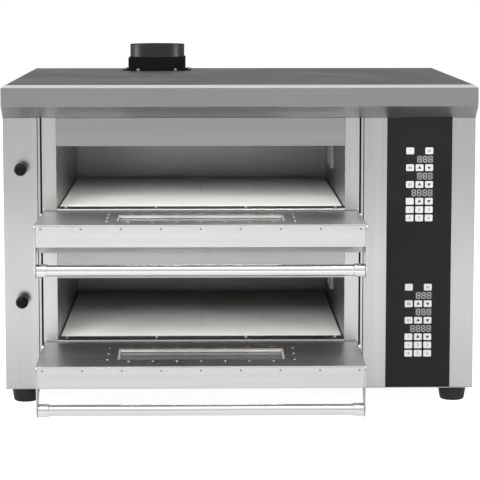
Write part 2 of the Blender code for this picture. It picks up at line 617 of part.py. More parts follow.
# ---------------------------------------------------------------- doors, in a closed door's frame
def add_door(oven, deck):
    """x from the chamber's middle, y = 0 and z = 0 on the hinge axis; the empty lays it open."""
    hinge = empty(f"{deck}_door_hinge", (X_CHAMBER, -AXIS_OUT, STONE_Z[deck] - AXIS_BELOW_STONE),
                  math.radians(90 + DROOP[deck]), oven)
    half = DOOR_W / 2
    shell_y = AXIS_IN - INNER_PANEL_T - GAP
    window_z = (WINDOW_FROM_AXIS, WINDOW_FROM_AXIS + WINDOW_H)
    window_x = (-WINDOW_W / 2, WINDOW_W / 2)
    frame_z = (window_z[0] - WINDOW_WALL, window_z[1] + WINDOW_WALL)
    frame_x = (window_x[0] - WINDOW_WALL, window_x[1] + WINDOW_WALL)
    glass_y = AXIS_IN - GLASS_RECESS

    # The lower inner corner is cut back so that it swings inside the axis-to-face distance.
    corner = [(shell_y, DOOR_CORNER - DOOR_TAIL), (AXIS_IN / 3, -DOOR_TAIL)]
    outline = [(DOOR_OUTER_Y, -DOOR_TAIL), (DOOR_OUTER_Y, DOOR_UP), (shell_y, DOOR_UP), *corner]
    hollow = boxes(((SHEET - half, half - SHEET), (DOOR_OUTER_Y + SHEET, shell_y + SHEET),
                    (DOOR_HOLLOW_UP - DOOR_TAIL, DOOR_UP - SHEET)))
    window_frame = boxes((frame_x, (DOOR_OUTER_Y + OVERLAP, glass_y - GLASS_T - GAP), frame_z))
    window = boxes((window_x, (DOOR_OUTER_Y - SHEET, shell_y + SHEET), window_z))
    pins = [rod("X", (0, 0, 0), PIN_R, *ends, steps=16)
            for ends in ((-half - PIN_OUT, OVERLAP - half), (half - OVERLAP, half + PIN_OUT))]
    piece_of(prism(outline, "X", -half, half), f"{deck}_door_shell", STEEL, hinge,
             hollow=[hollow], joined=[window_frame, *pins], cut=[window], recentre=False)

    piece_of(boxes(((-half, half), (AXIS_IN - INNER_PANEL_T, AXIS_IN),
                    (PANEL_UP - DOOR_TAIL, DOOR_UP))),
             f"{deck}_door_inner_panel", STEEL, hinge, recentre=False,
             joined=[boxes((frame_x, (glass_y + GAP, AXIS_IN - OVERLAP), frame_z))],
             cut=[boxes((window_x, (glass_y - SHEET, AXIS_IN + SHEET), window_z))])
    piece_of(boxes(((window_x[0] - GLASS_REBATE, window_x[1] + GLASS_REBATE),
                    (glass_y - GLASS_T, glass_y),
                    (window_z[0] - GLASS_REBATE, window_z[1] + GLASS_REBATE))),
             f"{deck}_door_glass", GLASS, hinge, recentre=False)

    leg_z = DOOR_UP - BRACKET_LEG_W
    edge_y = AXIS_IN - BRACKET_SET_IN
    bracket = [(edge_y, BRACKET_FROM_AXIS),
               *arc(edge_y - BRACKET_CORNER_R, DOOR_UP - BRACKET_CORNER_R, BRACKET_CORNER_R, 0, 90, 3),
               *arc(HANDLE_Y, HANDLE_Z, BRACKET_END_R, 90, 270, 8), (DOOR_OUTER_Y, leg_z),
               (DOOR_OUTER_Y, BRACKET_FROM_AXIS)]
    inner = half + GAP
    piece_of(prism(bracket, "X", -inner - BRACKET_T, -inner), f"{deck}_bracket_left", STEEL, hinge,
             recentre=False)
    piece_of(prism(bracket, "X", inner, inner + BRACKET_T), f"{deck}_bracket_right", STEEL, hinge,
             recentre=False)

    bore = HANDLE_R - HANDLE_WALL
    left_tube = [(bore, -half), (FERRULE_R - FERRULE_EDGE, -half), (FERRULE_R, FERRULE_EDGE - half),
                 (FERRULE_R, FERRULE_L - half), (HANDLE_R, FERRULE_L + FERRULE_EDGE - half)]
    tube = left_tube + [(r, -a) for r, a in reversed(left_tube)]
    piece_of(turned(tube, "X", (0, HANDLE_Y, HANDLE_Z), closed=True), f"{deck}_handle_bar", CHROME,
             hinge, smooth=True, recentre=False)


# ---------------------------------------------------------------- steam vents and flue
def add_vent(oven, deck):
    z = STONE_Z[deck] + ROD_ABOVE_STONE
    slide = empty(f"{deck}_vent_slide", (KNOB_X, 0, z), parent=oven)
    bore_r = ROD_R + GAP
    neck_angle = math.degrees(math.acos(KNOB_NECK_R / KNOB_R))
    ball = arc(0, -KNOB_OUT, KNOB_R, neck_angle, -90, 9)
    face_y = -KNOB_OUT + KNOB_R + KNOB_NECK_L
    profile = [(0, face_y - KNOB_BORE_D), (bore_r, face_y - KNOB_BORE_D), (bore_r, face_y),
               (KNOB_NECK_R, face_y), *ball]
    piece_of(turned(profile, "Y", (0, 0, 0), steps=16), f"{deck}_vent_knob", BLACK_PLASTIC, slide,
             smooth=True, recentre=False)

    gate_x = X_MOUTH_L - SHEET - GATE_PLAY - KNOB_X
    arm_y = RISER_Y - ARM_TO_RISER
    arm = boxes(((0, gate_x - OVERLAP), (arm_y - ARM_T, arm_y), (-ARM_HALF_H, ARM_HALF_H)))
    gate = boxes(((gate_x - GATE_T, gate_x), (arm_y - GATE_BEFORE_ARM, VENT_Y + VENT_D + GATE_LAP),
                  (-VENT_H / 2 - GATE_LAP, VENT_H / 2 + GATE_LAP)))
    piece_of(rod("Y", (0, 0, 0), ROD_R, face_y - KNOB_BORE_D + GAP, arm_y - ARM_PAST_ROD, steps=12),
             f"{deck}_vent_rod", STEEL, slide, joined=[arm, gate], recentre=False)


def add_flue(oven):
    right = X_MOUTH_L - SHEET - 2 * GATE_PLAY - GATE_T
    left = right - RISER_W
    plenum_right = FLUE_X + FLUE_BOX_W / 2
    top = Z_TOP - SHEET - PLENUM_BELOW_TOP
    low = STONE_Z["lower"] + ROD_ABOVE_STONE - RISER_BELOW_ROD
    bend_z = top - PLENUM_H
    wall = SHEET
    outside = [(left, low), (right, low), (right, bend_z), (plenum_right, bend_z),
               (plenum_right, top), (left, top)]
    inside = [(left + wall, low + wall), (right - wall, low + wall), (right - wall, bend_z + wall),
              (plenum_right - wall, bend_z + wall), (plenum_right - wall, top - wall),
              (left + wall, top - wall)]
    flue_y = RISER_Y + RISER_D / 2
    rod_z = [STONE_Z[d] + ROD_ABOVE_STONE for d in DECKS]
    vents = boxes(*[((right - 2 * wall, right + wall), (VENT_Y, VENT_Y + VENT_D),
                     (z - VENT_H / 2, z + VENT_H / 2)) for z in rod_z])
    piece_of(prism(outside, "Y", RISER_Y, RISER_Y + RISER_D), "flue_riser", DARK_STEEL, oven,
             cut=[prism(inside, "Y", RISER_Y + wall, RISER_Y + RISER_D - wall), vents,
                  rod("Z", (FLUE_X, flue_y, top), FLUE_BORE_R, -2 * wall, wall)])

    half = FLUE_BOX_W / 2
    base_z = Z_TOP + GAP
    box_z = (base_z, base_z + FLUE_BOX_H)
    out = half + FLUE_FLANGE
    inset = half - FLANGE_SETBACK
    flanges = [boxes(((FLUE_X - out, FLUE_X + out), (flue_y - inset, flue_y + inset),
                      (base_z, base_z + SHEET))),
               boxes(((FLUE_X - inset, FLUE_X + inset), (flue_y - out, flue_y + out),
                      (base_z, base_z + SHEET)))]
    bore_r = FLUE_R - FLUE_WALL
    piece_of(boxes(((FLUE_X - half, FLUE_X + half), (flue_y - half, flue_y + half), box_z)),
             "flue_base", BLACK_PAINT, oven, joined=flanges,
             cut=[rod("Z", (FLUE_X, flue_y, base_z), bore_r, -GAP, FLUE_BOX_H + GAP, steps=32)])
    foot_z = base_z + FLUE_BOX_H + GAP
    tube = [(bore_r, 0), (FLUE_R, 0), (FLUE_R, FLUE_TUBE_H), (bore_r, FLUE_TUBE_H)]
    piece_of(turned(tube, "Z", (FLUE_X, flue_y, foot_z), closed=True, steps=32), "flue_collar",
             BLACK_PAINT, oven, smooth=True)


# ---------------------------------------------------------------- insulation and electrics
def add_insulation(oven):
    xs = (X_MOUTH_L, X_MOUTH_R)
    ys = (RETURN_D + INSULATION_GAP, CHAMBER_D)
    liner_low = FLOOR_BELOW_STONE + SHEET + INSULATION_GAP
    liner_top = MOUTH_H + CEILING_ABOVE_MOUTH + SHEET + INSULATION_GAP
    plenum_low = Z_TOP - SHEET - PLENUM_BELOW_TOP - PLENUM_H
    layers = {"bottom_insulation": (Z_FLOOR + INSULATION_GAP, STONE_Z["lower"] - liner_low),
              "middle_insulation": (STONE_Z["lower"] + liner_top, STONE_Z["upper"] - liner_low),
              "top_insulation": (STONE_Z["upper"] + liner_top, plenum_low - INSULATION_GAP)}
    for name, zs in layers.items():
        piece_of(boxes((xs, ys, zs)), name, WOOL, oven)


def add_electrics(oven):
    plate_x = X_GROOVE_R + PLATE_FROM_GROOVE
    contactor_z = STONE_Z["lower"] + CONTACTOR_UP
    contactors = boxes(*[((plate_x + SHEET - OVERLAP, plate_x + CONTACTOR_OUT), (y, y + CONTACTOR_W),
                          (contactor_z, contactor_z + CONTACTOR_H)) for y in CONTACTOR_YS])
    piece_of(boxes(((plate_x, plate_x + SHEET), (RETURN_D + PLATE_FRONT_GAP, BODY_D - PLATE_REAR_GAP),
                    (Z_FLOOR + GAP, Z_FACE_TOP - PLATE_BELOW_FACE))),
             "electrical_plate", STEEL, oven, joined=[contactors])

    block_z = Z_FLOOR + GAP
    block_top = block_z + TERMINAL_H
    post_xs = [GLAND_X - FIRST_POST + i * POST_PITCH for i in range(POSTS)]
    posts = boxes(*[((x, x + POST_W), POST_Y, (block_top - OVERLAP, block_top + POST_UP))
                    for x in post_xs])
    piece_of(boxes(((GLAND_X - TERMINAL_W / 2, GLAND_X + TERMINAL_W / 2), TERMINAL_Y,
                    (block_z, block_top))),
             "terminal_block", BLACK_PLASTIC, oven, joined=[posts])

    middle_x = (X_PANEL_L + X_PANEL_R) / 2
    board_y = RETURN_D / 2 + BOARD_GAP
    relay_x = (middle_x - RELAY_X[0], middle_x - RELAY_X[1])
    relay_zs = [STONE_Z[d] + RELAY_UP + i * RELAY_PITCH for d in DECKS for i in range(RELAYS)]
    relays = boxes(*[(relay_x, (board_y + BOARD_T - OVERLAP, board_y + RELAY_OUT), (z, z + RELAY_H))
                     for z in relay_zs])
    piece_of(boxes(((middle_x - BOARD_W / 2, middle_x + BOARD_W / 2), (board_y, board_y + BOARD_T),
                    (STONE_Z["lower"], STONE_Z["upper"] + BOARD_UP))),
             "control_board", BOARD, oven, joined=[relays])


def add_keypads(oven):
    """A flat membrane sheet for each deck, stuck to the control panel's face."""
    middle_x = X_PANEL_L + KEYS_FROM_PANEL
    for deck in DECKS:
        first_z = STONE_Z[deck] + KEYS_ABOVE_STONE[deck]
        last_z = first_z - (KEY_ROWS - 1) * KEY_PITCH_Z
        piece_of(boxes(((middle_x - KEYPAD_W / 2, middle_x + KEYPAD_W / 2),
                        (-GAP - KEYPAD_T, -GAP), (last_z - KEYPAD_EDGE, first_z + KEYPAD_EDGE))),
                 f"{deck}_keypad", BLACK_PLASTIC, oven)


def add_gland(oven):
    body_r = GLAND_HOLE_R - GAP
    profile = [(GLAND_BORE_R, -GLAND_IN), (body_r, -GLAND_IN), (body_r, GAP), (GLAND_NUT_R, GAP),
               (GLAND_NUT_R, GLAND_NUT_L), *GLAND_CAP, (GLAND_BORE_R, GLAND_OUT)]
    piece_of(turned(profile, "Y", (GLAND_X, BODY_D, GLAND_Z), closed=True, steps=16), "cable_gland",
             BLACK_PLASTIC, oven, smooth=True)


def main():
    clear_scene()
    oven = empty("oven", (0, -(FRONT_Y + REAR_Y) / 2, 0))
    add_feet(oven)
    add_casing(oven)
    add_hood(oven)
    add_front(oven)
    add_jambs(oven)
    add_lintels(oven)
    for deck in DECKS:
        add_threshold(oven, deck)
        add_liner(oven, deck)
        add_stones(oven, deck)
        add_elements(oven, deck)
        add_lamp(oven, deck)
        add_door(oven, deck)
        add_vent(oven, deck)
    add_flue(oven)
    add_insulation(oven)
    add_electrics(oven)
    add_keypads(oven)
    add_gland(oven)


main()
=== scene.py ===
# %% [markdown]
# # A two-deck countertop pizza oven
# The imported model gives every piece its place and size. This lesson adds what the eye reads on a
# steel oven: brushed grain, folded edges, screws, a glazed door, printed keys and rough stone.
# The frame is loaded first, because each later cell takes its positions from it.

# %% Load the frame
import json
import math

import bmesh
import bpy
from mathutils import Matrix, Vector, noise


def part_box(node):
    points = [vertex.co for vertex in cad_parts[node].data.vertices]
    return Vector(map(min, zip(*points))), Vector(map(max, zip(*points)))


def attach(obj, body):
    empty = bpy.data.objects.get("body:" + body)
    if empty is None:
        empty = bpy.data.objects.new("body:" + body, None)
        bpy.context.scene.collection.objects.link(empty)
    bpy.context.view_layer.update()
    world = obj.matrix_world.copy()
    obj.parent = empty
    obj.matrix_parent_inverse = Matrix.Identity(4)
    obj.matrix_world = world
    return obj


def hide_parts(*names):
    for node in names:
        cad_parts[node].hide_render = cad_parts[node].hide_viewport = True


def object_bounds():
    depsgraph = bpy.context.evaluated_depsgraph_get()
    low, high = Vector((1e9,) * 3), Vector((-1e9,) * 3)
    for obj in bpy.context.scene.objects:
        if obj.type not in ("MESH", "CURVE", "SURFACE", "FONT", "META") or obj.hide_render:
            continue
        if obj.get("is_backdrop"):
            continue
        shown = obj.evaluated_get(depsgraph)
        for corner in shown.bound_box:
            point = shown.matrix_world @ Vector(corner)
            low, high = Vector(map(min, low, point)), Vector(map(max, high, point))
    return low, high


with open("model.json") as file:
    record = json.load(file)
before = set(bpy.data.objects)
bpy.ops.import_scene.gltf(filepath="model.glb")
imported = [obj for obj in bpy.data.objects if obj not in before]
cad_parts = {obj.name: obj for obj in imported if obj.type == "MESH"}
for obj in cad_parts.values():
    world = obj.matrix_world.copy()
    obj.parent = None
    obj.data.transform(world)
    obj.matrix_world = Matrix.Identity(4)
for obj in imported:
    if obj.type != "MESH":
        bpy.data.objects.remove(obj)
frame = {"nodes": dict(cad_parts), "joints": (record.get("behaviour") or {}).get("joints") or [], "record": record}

cad_low, cad_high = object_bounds()
scene = bpy.context.scene
nodes = frame["nodes"]
DECKS = ("upper", "lower")
print("CAD box", tuple(cad_low), tuple(cad_high))

# %% [markdown]
# A long lens from far away keeps upright edges upright, as a catalogue picture of an oven needs.
# The camera stands above the hood, so that the top, the open doors and the stones all show. It
# aims a little down, with only a touch of lens shift, because a shift carries over to every view.

# %% Camera
front_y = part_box("left_column")[0].y
camera_data = bpy.data.cameras.new("camera")
camera_data.lens = 146.6
camera_data.shift_y = -0.08
camera_data.sensor_width = 36
camera = bpy.data.objects.new("camera", camera_data)
scene.collection.objects.link(camera)
scene.camera = camera
camera.location = (-0.0816, front_y - 4.5330, 0.9971)
aim = Vector((0.01815, 1.0, -0.1145))
camera.rotation_mode = "QUATERNION"
camera.rotation_quaternion = aim.to_track_quat("-Z", "Y")
camera_data.clip_end = 60
print("camera at", tuple(camera.location))

# %% [markdown]
# Steel shows its surroundings more than itself, so the studio matters as much as the metal. The
# walls in front of the oven are bright, the far side is dark, and a soft ceiling lights the bends.
# A dark band a little above the horizon gives upright steel something darker to mirror. The
# backdrop itself looks plain white, which a Light Path switch does for the camera's rays only.

# %% Studio
WALL_TURN, CEILING_FADE = (-0.25, 0.45), (0.62, 0.90)
BAND_AT, BAND_FADE, BAND_LEAST = 0.10, (0.03, 0.10), 0.15
FLOOR_REACH, FLOOR_GAP = 9, 0.0002
FLOOR_GLOW, FLOOR_SEEN = 0.34, 0.92


def feed(tree, socket, value):
    """Sets a socket to a plain number, or links it to another node's output."""
    if isinstance(value, (int, float)):
        socket.default_value = value
    else:
        tree.links.new(value, socket)


def math_in(tree, operation, first, second):
    node = tree.nodes.new("ShaderNodeMath")
    node.operation = operation
    feed(tree, node.inputs[0], first)
    feed(tree, node.inputs[1], second)
    return node.outputs[0]


def mix_in(tree, amount, low, high):
    node = tree.nodes.new("ShaderNodeMix")
    node.data_type = "FLOAT"
    for index, value in ((0, amount), (2, low), (3, high)):
        feed(tree, node.inputs[index], value)
    return node.outputs[0]


def ranged(tree, value, start, end, low, high):
    """Goes from low to high, with soft ends, as value goes from start to end."""
    node = tree.nodes.new("ShaderNodeMapRange")
    node.interpolation_type = "SMOOTHSTEP"
    labels = ("Value", "From Min", "From Max", "To Min", "To Max")
    for label, given in zip(labels, (value, start, end, low, high)):
        feed(tree, node.inputs[label], given)
    return node.outputs["Result"]


def add_world(front, rear, ceiling):
    """Light from all round: bright in front and overhead, dark behind and low."""
    world = bpy.data.worlds.new("studio")
    world.use_nodes = True
    scene.world = world
    tree = world.node_tree
    tree.nodes.clear()
    output = tree.nodes.new("ShaderNodeOutputWorld")
    background = tree.nodes.new("ShaderNodeBackground")
    background.inputs["Color"].default_value = (1, 1, 1, 1)
    direction = tree.nodes.new("ShaderNodeTexCoord")
    split = tree.nodes.new("ShaderNodeSeparateXYZ")
    sight = tree.nodes.new("ShaderNodeLightPath")
    tree.links.new(direction.outputs["Generated"], split.inputs[0])
    from_band = math_in(tree, "ABSOLUTE", math_in(tree, "SUBTRACT", split.outputs["Z"], BAND_AT), 0)
    band = ranged(tree, from_band, *BAND_FADE, BAND_LEAST, 1)
    walls = math_in(tree, "MULTIPLY", ranged(tree, split.outputs["Y"], *WALL_TURN, front, rear), band)
    overhead = ranged(tree, split.outputs["Z"], *CEILING_FADE, 0, 1)
    strength = mix_in(tree, overhead, walls, ceiling)
    seen = mix_in(tree, sight.outputs["Is Camera Ray"], strength, 1)
    tree.links.new(seen, background.inputs["Strength"])
    tree.links.new(background.outputs[0], output.inputs["Surface"])


def add_light(name, place, target, size, power, mirrored=True):
    data = bpy.data.lights.new(name, "AREA")
    data.shape = "RECTANGLE"
    data.size, data.size_y = size
    data.energy = power
    light = bpy.data.objects.new(name, data)
    scene.collection.objects.link(light)
    light.location = place
    light.rotation_mode = "QUATERNION"
    light.rotation_quaternion = (Vector(target) - Vector(place)).to_track_quat("-Z", "Y")
    light.visible_glossy = mirrored


def as_mesh(name, bm):
    """Turns a finished bmesh into a mesh, and lets the bmesh go."""
    mesh = bpy.data.meshes.new(name)
    bm.to_mesh(mesh)
    bm.free()
    return mesh


add_world(front=0.80, rear=0.19, ceiling=1.9)
add_light("key", (-0.5, front_y - 3.0, 1.75), (-0.09, front_y + 0.2, 0.30), (3.0, 1.3), 230,
          mirrored=False)
add_light("fill", (2.2, front_y - 2.4, 1.2), (0.2, front_y, 0.4), (0.8, 0.8), 18, mirrored=False)
add_light("left_strip", (-2.4, front_y + 1.0, 1.3), (0, front_y + 0.4, 0.6), (0.8, 1.6), 22)
add_light("right_strip", (2.6, front_y + 0.6, 1.3), (0, front_y + 0.4, 0.6), (0.8, 1.6), 22)
for side in (-0.9, 0.2):
    add_light(f"spark_{side}", (side, front_y - 1.2, 2.9), (-0.4, front_y, 0.5), (0.10, 0.10), 3)
scene.view_settings.view_transform = "Standard"

bm = bmesh.new()
bmesh.ops.create_grid(bm, x_segments=1, y_segments=1, size=FLOOR_REACH)
bmesh.ops.translate(bm, vec=(0, 0, cad_low.z - FLOOR_GAP), verts=bm.verts)
floor = bpy.data.objects.new("floor", as_mesh("floor", bm))
scene.collection.objects.link(floor)
pale = bpy.data.materials.new("pale_floor")
pale.use_nodes = True
tree = pale.node_tree
shader = tree.nodes["Principled BSDF"]
shader.inputs["Base Color"].default_value = (0.24, 0.24, 0.24, 1)
shader.inputs["Roughness"].default_value = 0.9
shader.inputs["Emission Color"].default_value = (1, 1, 1, 1)
sight = tree.nodes.new("ShaderNodeLightPath")
glow = ranged(tree, sight.outputs["Is Camera Ray"], 0, 1, FLOOR_GLOW, FLOOR_SEEN)
tree.links.new(glow, shader.inputs["Emission Strength"])
floor.data.materials.append(pale)
floor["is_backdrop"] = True
print("lights", [light.name for light in bpy.data.lights])

# %% [markdown]
# Three effects come back in many finishes, so each is a node group: the lines that a brushing belt
# leaves, cloudy marks from wiping, and fine grit. A group only gives values that change over the
# surface. Each material keeps its own shader and its own plain numbers.

# %% Shared effects
def new_group(name, inputs, outputs):
    tree = bpy.data.node_groups.new(name, "ShaderNodeTree")
    for label, kind, value in inputs:
        socket = tree.interface.new_socket(label, in_out="INPUT", socket_type=kind)
        if value is not None:
            socket.default_value = value
    for label in outputs:
        tree.interface.new_socket(label, in_out="OUTPUT", socket_type="NodeSocketFloat")
    return tree, tree.nodes.new("NodeGroupInput"), tree.nodes.new("NodeGroupOutput")


def noise_in(tree, vector, scale, detail, roughness=0.5):
    node = tree.nodes.new("ShaderNodeTexNoise")
    values = {"Vector": vector, "Scale": scale, "Detail": detail, "Roughness": roughness}
    for label, value in values.items():
        feed(tree, node.inputs[label], value)
    return node.outputs["Fac"]


def make_grain_group():
    """Long fine lines. Stretch says how many lines fit in a metre along each axis."""
    tree, given, out = new_group(
        "brushed_grain",
        (("Vector", "NodeSocketVector", None), ("Stretch", "NodeSocketVector", (2, 500, 500))),
        ("Tone", "Height"))
    scaled = tree.nodes.new("ShaderNodeVectorMath")
    scaled.operation = "MULTIPLY"
    tree.links.new(given.outputs["Vector"], scaled.inputs[0])
    tree.links.new(given.outputs["Stretch"], scaled.inputs[1])
    fine = noise_in(tree, scaled.outputs[0], 1.0, 2.0, 0.6)
    broad = noise_in(tree, scaled.outputs[0], 0.09, 2.0, 0.5)
    tone = math_in(tree, "ADD", math_in(tree, "MULTIPLY", fine, 0.45),
                   math_in(tree, "MULTIPLY", broad, 0.55))
    tree.links.new(tone, out.inputs["Tone"])
    tree.links.new(fine, out.inputs["Height"])
    return tree


def make_marks_group():
    """Cloudy patches a hand or cloth leaves."""
    tree, given, out = new_group(
        "wipe_marks", (("Vector", "NodeSocketVector", None), ("Scale", "NodeSocketFloat", 5.0)),
        ("Mark",))
    mark = noise_in(tree, given.outputs["Vector"], given.outputs["Scale"], 2.0)
    tree.links.new(mark, out.inputs["Mark"])
    return tree


def make_grit_group():
    """Fine speckle and pits, for stone, castings and textured plastic."""
    tree, given, out = new_group(
        "fine_grit", (("Vector", "NodeSocketVector", None), ("Scale", "NodeSocketFloat", 400.0)),
        ("Speckle", "Height"))
    height = noise_in(tree, given.outputs["Vector"], given.outputs["Scale"], 3.0, 0.7)
    cells = tree.nodes.new("ShaderNodeTexVoronoi")
    for label in ("Vector", "Scale"):
        tree.links.new(given.outputs[label], cells.inputs[label])
    speckle = math_in(tree, "MULTIPLY", cells.outputs["Distance"], height)
    tree.links.new(height, out.inputs["Height"])
    tree.links.new(speckle, out.inputs["Speckle"])
    return tree


grain_group = make_grain_group()
marks_group = make_marks_group()
grit_group = make_grit_group()
print("effects", [g.name for g in (grain_group, marks_group, grit_group)])

# %% [markdown]
# A finish is a Principled shader fed by those effects. Brushed steel needs to know which way the
# belt ran: along X on lintels, doors and the hood, along Z on columns and jambs. Paint, plastic
# and stone have no direction, so they share one builder with grit in place of grain.

# %% Finish builders
GRAIN = {"X": (2.2, 420, 420), "Y": (420, 2.2, 420), "Z": (420, 420, 2.2)}
GRAIN_SPREAD, MARK_SPREAD = (0.34, 0.66), (0.1, 0.9)
BRIGHTEST = 0.98


def start_finish(name, metallic, **plain):
    made = bpy.data.materials.new(name)
    made.use_nodes = True
    tree = made.node_tree
    shader = tree.nodes["Principled BSDF"]
    shader.inputs["Metallic"].default_value = metallic
    for label, value in plain.items():
        shader.inputs[label.replace("_", " ")].default_value = value
    place = tree.nodes.new("ShaderNodeTexCoord")
    return made, tree, shader, place.outputs["Object"]


def effect(tree, group, vector, **values):
    node = tree.nodes.new("ShaderNodeGroup")
    node.node_tree = group
    tree.links.new(vector, node.inputs["Vector"])
    for label, value in values.items():
        node.inputs[label].default_value = value
    return node


def blend_colour(tree, amount, low, high, target, spread=(0.3, 0.7)):
    """Colour between low and high as amount goes over the spread."""
    ramp = tree.nodes.new("ShaderNodeValToRGB")
    ramp.color_ramp.elements[0].position, ramp.color_ramp.elements[1].position = spread
    ramp.color_ramp.elements[0].color = (*low, 1)
    ramp.color_ramp.elements[1].color = (*high, 1)
    tree.links.new(amount, ramp.inputs["Fac"])
    tree.links.new(ramp.outputs["Color"], target)


def vary_roughness(tree, marks, low, high, shader):
    value = ranged(tree, marks.outputs["Mark"], *MARK_SPREAD, low, high)
    tree.links.new(value, shader.inputs["Roughness"])


def relief(tree, height, depth, shader):
    bump = tree.nodes.new("ShaderNodeBump")
    bump.inputs["Strength"].default_value = 1.0
    bump.inputs["Distance"].default_value = depth
    tree.links.new(height, bump.inputs["Height"])
    tree.links.new(bump.outputs["Normal"], shader.inputs["Normal"])


def brushed(name, tone, along, roughness=0.23, contrast=0.05, depth=0.000005):
    """Brushed steel of one grey tone, with its lines along an axis."""
    made, tree, shader, place = start_finish(name, 1.0)
    grain = effect(tree, grain_group, place, Stretch=GRAIN[along])
    marks = effect(tree, marks_group, place, Scale=4.0)
    low = [tone * (1 - contrast) * c for c in (1.0, 1.0, 0.995)]
    high = [min(tone * (1 + contrast), BRIGHTEST) * c for c in (1.0, 1.0, 0.99)]
    blend_colour(tree, grain.outputs["Tone"], low, high, shader.inputs["Base Color"], GRAIN_SPREAD)
    vary_roughness(tree, marks, roughness * 0.85, roughness * 1.15, shader)
    relief(tree, grain.outputs["Height"], depth, shader)
    return made


def coated(name, colour, roughness, metallic=0.0, grit=500.0, depth=0.00002, contrast=0.15, **plain):
    """Paint, plastic, rubber or film: an even colour broken by grit and wipe marks."""
    made, tree, shader, place = start_finish(name, metallic, **plain)
    speckle = effect(tree, grit_group, place, Scale=grit)
    marks = effect(tree, marks_group, place, Scale=9.0)
    low = [c * (1 - contrast) for c in colour]
    high = [min(c * (1 + contrast), 1.0) for c in colour]
    blend_colour(tree, marks.outputs["Mark"], low, high, shader.inputs["Base Color"])
    vary_roughness(tree, marks, roughness * 0.85, roughness * 1.2, shader)
    relief(tree, speckle.outputs["Height"], depth, shader)
    return made


# Painted reflection: the brushed steels are one stainless sheet given a lighter or darker tone per part, such as
# dark lintels, plinth and hood and light jambs and doors, for the brightness each grain mirrors.
finish = {
    "column": brushed("column_steel", 0.61, "Z"),
    "jamb": brushed("jamb_steel", 0.65, "Z"),
    "level": brushed("level_steel", 0.44, "X"),
    "threshold": brushed("threshold_steel", 0.62, "X"),
    "hood": brushed("hood_steel", 0.38, "X", roughness=0.34),
    "door": brushed("door_steel", 0.68, "X", roughness=0.20),
    "side": brushed("side_steel", 0.60, "Y"),
    "chamber": brushed("chamber_steel", 0.50, "X", roughness=0.40),
    "inner": brushed("inner_steel", 0.76, "X", roughness=0.36),
    "handle": brushed("handle_chrome", 0.88, "X", roughness=0.12, contrast=0.03, depth=0.000004),
    "screw": brushed("screw_steel", 0.92, "X", roughness=0.50),
    "dull_screw": brushed("dull_screw_steel", 0.34, "X", roughness=0.34),
    "panel": coated("black_panel", (0.007, 0.007, 0.0073), 0.32, grit=900, Specular_IOR_Level=0.16),
    "paint": coated("black_paint", (0.0035, 0.0035, 0.0035), 0.55, grit=700, Specular_IOR_Level=0.08),
    "gloss": coated("gloss_black_paint", (0.008, 0.008, 0.008), 0.34, depth=0.000002, contrast=0.05),
    "foot": coated("black_plastic", (0.010, 0.010, 0.010), 0.45, grit=900, Specular_IOR_Level=0.3),
    "knob": coated("knob_plastic", (0.003, 0.003, 0.003), 0.08, depth=0.000001, Specular_IOR_Level=0.16),
    "film": coated("keypad_film", (0.008, 0.008, 0.0083), 0.36, grit=1500, depth=0.00001,
                   Specular_IOR_Level=0.16),
    "key": coated("key_print", (0.34, 0.34, 0.34), 0.45, contrast=0.03, depth=0.000005),
    "print": coated("key_symbol", (0.025, 0.025, 0.025), 0.45, depth=0.000005),
    "display": coated("display_window", (0.030, 0.030, 0.032), 0.12, depth=0.000003),
    "segment": coated("display_segment", (0.20, 0.20, 0.20), 0.30, contrast=0.05, depth=0.000003),
    "gasket": coated("window_gasket", (0.29, 0.28, 0.265), 0.90, grit=900, depth=0.0002),
    "wool": coated("mineral_wool", (0.62, 0.58, 0.42), 0.95, grit=160, depth=0.002, contrast=0.3),
    "element": coated("element_sheath", (0.16, 0.15, 0.14), 0.55, metallic=0.8, grit=900),
    "board": coated("circuit_board", (0.04, 0.20, 0.09), 0.40, grit=700),
}
print(len(finish), "finishes")

# %% [markdown]
# Glass needs a shader of its own. The door panes are toughened glass with a faint warm film from
# baking, so light passes through and the surface still reflects. The stones are pressed cordierite:
# pale and gritty, and darker towards the back of the chamber. That darkening is partly browning where
# the heat is held longest and partly painted shade, as less light reaches the rear.

# %% Glass and stone
# The stone's darkening towards the rear is partly browning from baking and partly painted shade.
BROWN_AND_SHADE_FROM, BROWN_AND_SHADE_PAST = 0.26, 0.15


def glass(name, tint, roughness):
    made, tree, shader, place = start_finish(name, 0.0, Transmission_Weight=1.0, IOR=1.5)
    marks = effect(tree, marks_group, place, Scale=7.0)
    low = [c * 0.88 for c in tint]
    blend_colour(tree, marks.outputs["Mark"], low, tint, shader.inputs["Base Color"])
    vary_roughness(tree, marks, roughness * 0.5, roughness * 1.5, shader)
    return made


def baking_stone(pale, browned_and_shaded, front, rear):
    """Stone that darkens from the chamber's mouth to its rear wall: partly browning, partly painted shade."""
    made, tree, shader, place = start_finish("baking_stone", 0.0, Roughness=0.88)
    grit = effect(tree, grit_group, place, Scale=260.0)
    marks = effect(tree, marks_group, place, Scale=5.5)
    split = tree.nodes.new("ShaderNodeSeparateXYZ")
    tree.links.new(place, split.inputs[0])
    # Painted shade mixed with browning: the colour darkens with depth into the chamber.
    depth = ranged(tree, split.outputs["Y"], front, rear, 0, 1)
    patchy = math_in(tree, "ADD", math_in(tree, "MULTIPLY", marks.outputs["Mark"], 0.35),
                     math_in(tree, "MULTIPLY", grit.outputs["Height"], 0.25))
    shade = math_in(tree, "ADD", math_in(tree, "SUBTRACT", patchy, 0.30), depth)
    blend_colour(tree, shade, pale, browned_and_shaded, shader.inputs["Base Color"], (0.0, 1.0))
    relief(tree, grit.outputs["Speckle"], 0.0004, shader)
    return made


stone_low, stone_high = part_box("upper_stone_left")
